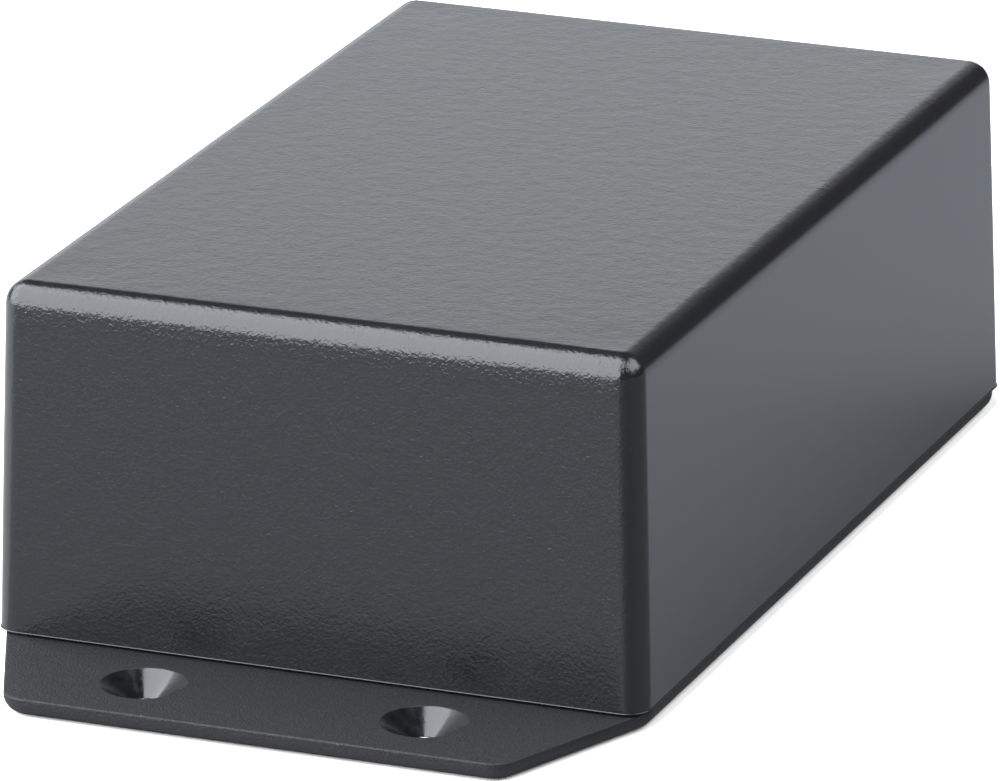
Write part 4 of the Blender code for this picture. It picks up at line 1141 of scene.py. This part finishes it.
def make_capacitor(node, aluminium, plastic, tin):
    """A can capacitor hanging from its notched plastic foot, with a cross of vents in its end."""
    low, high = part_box(node)
    centre = (low + high) / 2
    foot_low = high.z - 1.0 * MM
    bottom, r = low.z, 4.0 * MM
    groove = bottom + 0.75 * (foot_low - bottom)
    profile = [(0, foot_low + 0.1 * MM), (r * 0.96, foot_low + 0.1 * MM), (r, foot_low - 0.1 * MM)]
    profile += [(r - 0.32 * MM * math.sin(math.pi * k / 8) ** 2,
        groove + 0.5 * MM - 1.0 * MM * k / 8) for k in range(9)]
    profile += profile_mm(bottom, (4.0, 0.45), (3.94, 0.2), (3.7, 0.02), (3.5, 0), (3.38, 0.05),
        (0, 0.05))
    vents = [block_at(centre.x, centre.y, a, b, bottom - 1 * MM, bottom + 0.15 * MM)
        for a, b in ((2.4 * MM, 0.07 * MM), (0.07 * MM, 2.4 * MM))]
    can = cut(turned_at(profile, centre.x, centre.y, 72), vents)
    half = (high.x - low.x) / 2
    notch = 1.4 * MM
    outline = [(-half, -half), (half - notch, -half), (half, -half + notch), (half, half - notch),
        (half - notch, half), (-half, half)]
    levels = ((foot_low, 0.97), (foot_low + 0.1 * MM, 1.0), (board_low.z - 0.15 * MM, 1.0),
        (board_low.z - 0.1 * MM, 0.98))
    foot = loft([[Vector((centre.x + x * k, centre.y + y * k, z)) for x, y in outline]
        for z, k in levels])
    left, right = centre.x - half, centre.x + half
    legs = [box_mesh((start, centre.y - 0.45 * MM, board_low.z - 0.25 * MM),
        (stop, centre.y + 0.45 * MM, SEAT), 0.05 * MM)
        for start, stop in ((right - 1.2 * MM, right), (left, left + 1.2 * MM))]
    assemble(node, [(can, aluminium), (foot, plastic), (joined(*legs), tin)])


def make_duplexer(node, ceramic):
    """A silvered ceramic block with a row of resonator bores through it."""
    low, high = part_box(node)
    body = box_mesh(low, (high.x, high.y, SEAT), 0.3 * MM, 3)
    bores = []
    narrow, wide = 0.62 * MM, 0.87 * MM
    for k in range(6):
        y = low.y + (k + 0.5) * (high.y - low.y) / 6
        profile = [(0, high.x + 0.5 * MM), (wide, high.x + 0.5 * MM), (narrow, high.x - 0.12 * MM),
            (narrow, low.x + 0.12 * MM), (wide, low.x - 0.5 * MM), (0, low.x - 0.5 * MM)]
        place = Matrix.Translation((0, y, (low.z + high.z) / 2))
        spin = place @ Matrix.Rotation(math.pi / 2, 4, "Y")
        bores.append(moved(turned_mesh(profile, 28), spin))
    link(node, cut(body, bores), [ceramic])


def make_shield_lid(path, tin):
    """A pressed lid with vent holes and notched corners."""
    node = f"{path}_shield_lid"
    low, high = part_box(node)
    sheet = 0.5 * MM
    outer = box_mesh(low, high, 0.3 * MM, 3)
    inner = box_mesh((low.x + sheet, low.y + sheet, low.z + sheet),
        (high.x - sheet, high.y - sheet, high.z + 1 * MM), 0.15 * MM)
    centre = (low + high) / 2
    half_x, half_y = (high.x - low.x) / 2, (high.y - low.y) / 2
    vent = rod(0.75 * MM, low.z + 1 * MM, low.z - 1 * MM)
    cutters = [turned_at(vent, centre.x + (i - 2) * 4.2 * MM, centre.y + (j - 3.5) * 4.0 * MM, 20)
        for i in range(5) for j in range(8)]
    cutters += [block_at(centre.x + sx * half_x, centre.y + sy * half_y, 0.7 * MM, 0.7 * MM,
        low.z + 1.0 * MM, high.z + 1 * MM) for sx, sy in CORNERS.values()]
    link(node, cut(cut(outer, [inner]), cutters), [tin])


# The runs' faces, and the widths of the three kinds of run.
TRACE_LOW, TRACE_HIGH = board_low.z - 0.035 * MM, board_low.z + 0.01 * MM
SIGNAL, ANTENNA, SUPPLY = 0.25 * MM, 1.1 * MM, 3.0 * MM


def trace(bm, points, width):
    """A flat copper run along a polyline, with mitred joins."""
    points = [Vector(point) for point in points]
    sides = []
    for i, here in enumerate(points):
        before = (here - points[i - 1]).normalized() if i else None
        after = (points[i + 1] - here).normalized() if i + 1 < len(points) else None
        along = ((before or after) + (after or before)).normalized()
        normal = Vector((-along.y, along.x))
        stretch = 1.0 / max(0.5, along.dot(after or before))
        sides.append((here + normal * width / 2 * stretch, here - normal * width / 2 * stretch))
    rows = [[bm.verts.new((*left, TRACE_HIGH)), bm.verts.new((*left, TRACE_LOW)),
        bm.verts.new((*right, TRACE_LOW)), bm.verts.new((*right, TRACE_HIGH))]
        for left, right in sides]
    for one, two in zip(rows, rows[1:]):
        for k in range(4):
            bm.faces.new((one[k], one[(k + 1) % 4], two[(k + 1) % 4], two[k]))
    bm.faces.new(rows[0])
    bm.faces.new(rows[-1][::-1])


def make_traces(look):
    """Runs under the solder mask that join the board's parts."""
    bm = bmesh.new()
    processor_low, processor_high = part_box("control_processor")
    count = 9
    for side in (-1, 1):
        edge_x = processor_high.x if side > 0 else processor_low.x
        for k in range(count):
            y = (processor_low.y + processor_high.y) / 2 + (k - 4) * 1.2 * MM
            bend = (10.5 + 0.9 * k) * MM * side
            end_x = (12.5 + 0.9 * k) * MM * side
            if side < 0 and -33.5 * MM < y < -26.5 * MM:
                trace(bm, [(edge_x, y), (-13.0 * MM, y)], SIGNAL)
            else:
                rise = (14 - k) * MM * 0.15
                trace(bm, [(edge_x, y), (bend, y), (end_x, y + rise + 2 * MM),
                    (end_x, -13.2 * MM)], SIGNAL)
    for k in range(count):
        x = (k - 4) * 1.2 * MM
        trace(bm, [(x, processor_high.y), (x, -18.0 * MM - abs(k - 4) * 0.6 * MM),
            (x * 0.55, -14.0 * MM), (x * 0.55, -3.0 * MM)], SIGNAL)
        trace(bm, [(x, processor_low.y), (x, -41.0 * MM), (x * 1.9, -45.0 * MM),
            (x * 1.9, -50.0 * MM)], SIGNAL)
    for side in SIDES.values():
        for x, start, stop in ((26.5, 56.5, 54.0), (20.0, 29.2, 24.6)):
            trace(bm, [(side * x * MM, start * MM), (side * x * MM, stop * MM)], ANTENNA)
    for start, stop in ((44.5, 40.6), (31.4, 28.0), (21.8, 18.3)):
        trace(bm, [(0, start * MM), (0, stop * MM)], SUPPLY)
    link("board_traces", finished(bm), [look], nodes=(), slot="solder_mask")


def make_passives(ceramic, black, tin):
    """Chip capacitors and resistors in rows round the parts that they serve."""
    rows = []
    for side in (-1, 1):
        rows += [(side * (9.5 + 2.2 * k) * MM, -45.5 * MM, True) for k in range(4)]
        rows += [(side * 4.0 * MM, (-17.5 + 2.4 * k) * MM, False) for k in range(4)]
        rows += [(side * 6.4 * MM, (17.0 + 2.4 * k) * MM, False) for k in range(3)]
        rows += [(side * 30.5 * MM, (-17.5 - 2.4 * k) * MM, False) for k in range(4)]
        rows += [(side * (14.5 + 2.2 * k) * MM, -14.6 * MM, True) for k in range(6)]
        rows += [(side * (20.5 + 7.0 * j) * MM, (6.0 + 2.4 * k) * MM, False) for j in (-1, 1)
            for k in (-2, -1, 0, 1, 2)]
    bodies = pads(rows[::2], 0.5 * MM, 0.42 * MM, SEAT - 0.75 * MM, SEAT)
    flat = pads(rows[1::2], 0.5 * MM, 0.42 * MM, SEAT - 0.45 * MM, SEAT)
    ends = []
    for x, y, turned in rows:
        for hand in (-1, 1):
            shift = hand * 0.66 * MM
            ends.append((x, y + shift, turned) if turned else (x + shift, y, turned))
    caps = [end for index, end in enumerate(ends) if index // 2 % 2 == 0]
    flats = [end for index, end in enumerate(ends) if index // 2 % 2 == 1]
    terminals = joined(pads(caps, 0.18 * MM, 0.43 * MM, SEAT - 0.77 * MM, SEAT),
        pads(flats, 0.18 * MM, 0.43 * MM, SEAT - 0.47 * MM, SEAT))
    assemble("chip_capacitors_and_resistors", [(bodies, ceramic), (flat, black), (terminals, tin)],
        nodes=(), slot="silvered_ceramic")


def dress(node, look):
    """Give a CAD node that keeps its own shape a finished material."""
    piece = bpy.data.objects[node]
    piece.data.materials.clear()
    piece.data.materials.append(look)


# ---------------------------------------------------------------- assembly
place_camera()
make_stage()

black = case_plastic()
zinc = metal("zinc_steel", (0.50, 0.51, 0.53), (0.64, 0.65, 0.67), 0.2, 0.38, 0.35)
gold = metal("gold_plate", (0.74, 0.50, 0.17), (0.88, 0.63, 0.25), 0.16, 0.3, 0.3)
brass = metal("brass", (0.60, 0.42, 0.18), (0.74, 0.54, 0.26), 0.24, 0.4, 0.3)
tin = metal("tinplate", (0.55, 0.55, 0.53), (0.68, 0.68, 0.66), 0.22, 0.42, 0.5, (1, 4, 1))
silver = metal("silvered_ceramic", (0.50, 0.48, 0.44), (0.62, 0.60, 0.56), 0.42, 0.6, 0.16, None,
    0.012)
can_metal = metal("can_aluminium", (0.70, 0.70, 0.71), (0.80, 0.80, 0.81), 0.2, 0.34, 0.5,
    (1, 1, 6))
epoxy = moulded("chip_epoxy", (0.014, 0.014, 0.016), (0.022, 0.022, 0.024), 0.42, 0.6, 0.12)
ferrite = moulded("ferrite", (0.040, 0.040, 0.045), (0.062, 0.062, 0.068), 0.62, 0.8, 0.2, 0.02)
ptfe = moulded("ptfe", (0.78, 0.78, 0.75), (0.86, 0.86, 0.83), 0.38, 0.52, 0.3, 0.006)
jack_plastic = moulded("jack_plastic", (0.011, 0.011, 0.012), (0.016, 0.016, 0.017), 0.3, 0.44,
    0.25)
chip_ceramic = moulded("chip_ceramic", (0.28, 0.17, 0.09), (0.38, 0.25, 0.14), 0.42, 0.58, 0.12)
mask = solder_mask()
covered_copper = moulded("covered_copper", (0.020, 0.16, 0.07), (0.028, 0.20, 0.085), 0.26, 0.36,
    0.4)
acrylic = clear_plastic("clear_acrylic", (0.92, 0.95, 0.97), 1.0)
lamp_green = clear_plastic("lamp_plastic", (0.08, 0.55, 0.16), 0.55)

make_case(black)
make_base(plate_plastic(), sink_plastic())
lid_screw = lid_screw_mesh(*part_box("lid_screw_rear_right"))
board_screw = board_screw_mesh(*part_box("board_screw_rear_right"))
insert = insert_mesh(insert_low, insert_high)
for tag, (sx, sy) in CORNERS.items():
    post = Matrix.Translation((sx * POST.x, sy * POST.y, 0))
    standoff = Matrix.Translation((sx * STANDOFF.x, sy * STANDOFF.y, 0))
    link(f"lid_screw_{tag}", moved(lid_screw.copy(), post), [zinc], f"screw_{tag}")
    link(f"thread_insert_{tag}", moved(insert.copy(), post), [brass])
    link(f"board_screw_{tag}", moved(board_screw.copy(), standoff), [zinc])
for end, side in SIDES.items():
    make_antenna_jack(end, side, gold, ptfe, zinc)
    make_duplexer(f"{end}_duplexer", silver)
make_power_jack(jack_plastic, tin)
make_lamp(acrylic, lamp_green)

dress("circuit_board", mask)
make_traces(covered_copper)
make_passives(chip_ceramic, epoxy, tin)
make_chip("control_processor", 12, epoxy, tin)
for path in PATHS:
    make_chip(f"{path}_power_amplifier", 7, epoxy, tin)
    make_chip(f"{path}_low_noise_amplifier", 4, epoxy, tin)
    dress(f"{path}_shield_frame", tin)
    make_shield_lid(path, tin)
make_regulator(epoxy, tin)
make_oscillator(tin)
make_inductor(ferrite, tin)
for tag in ("input", "output"):
    make_capacitor(f"storage_capacitor_{tag}", can_metal, jack_plastic, tin)
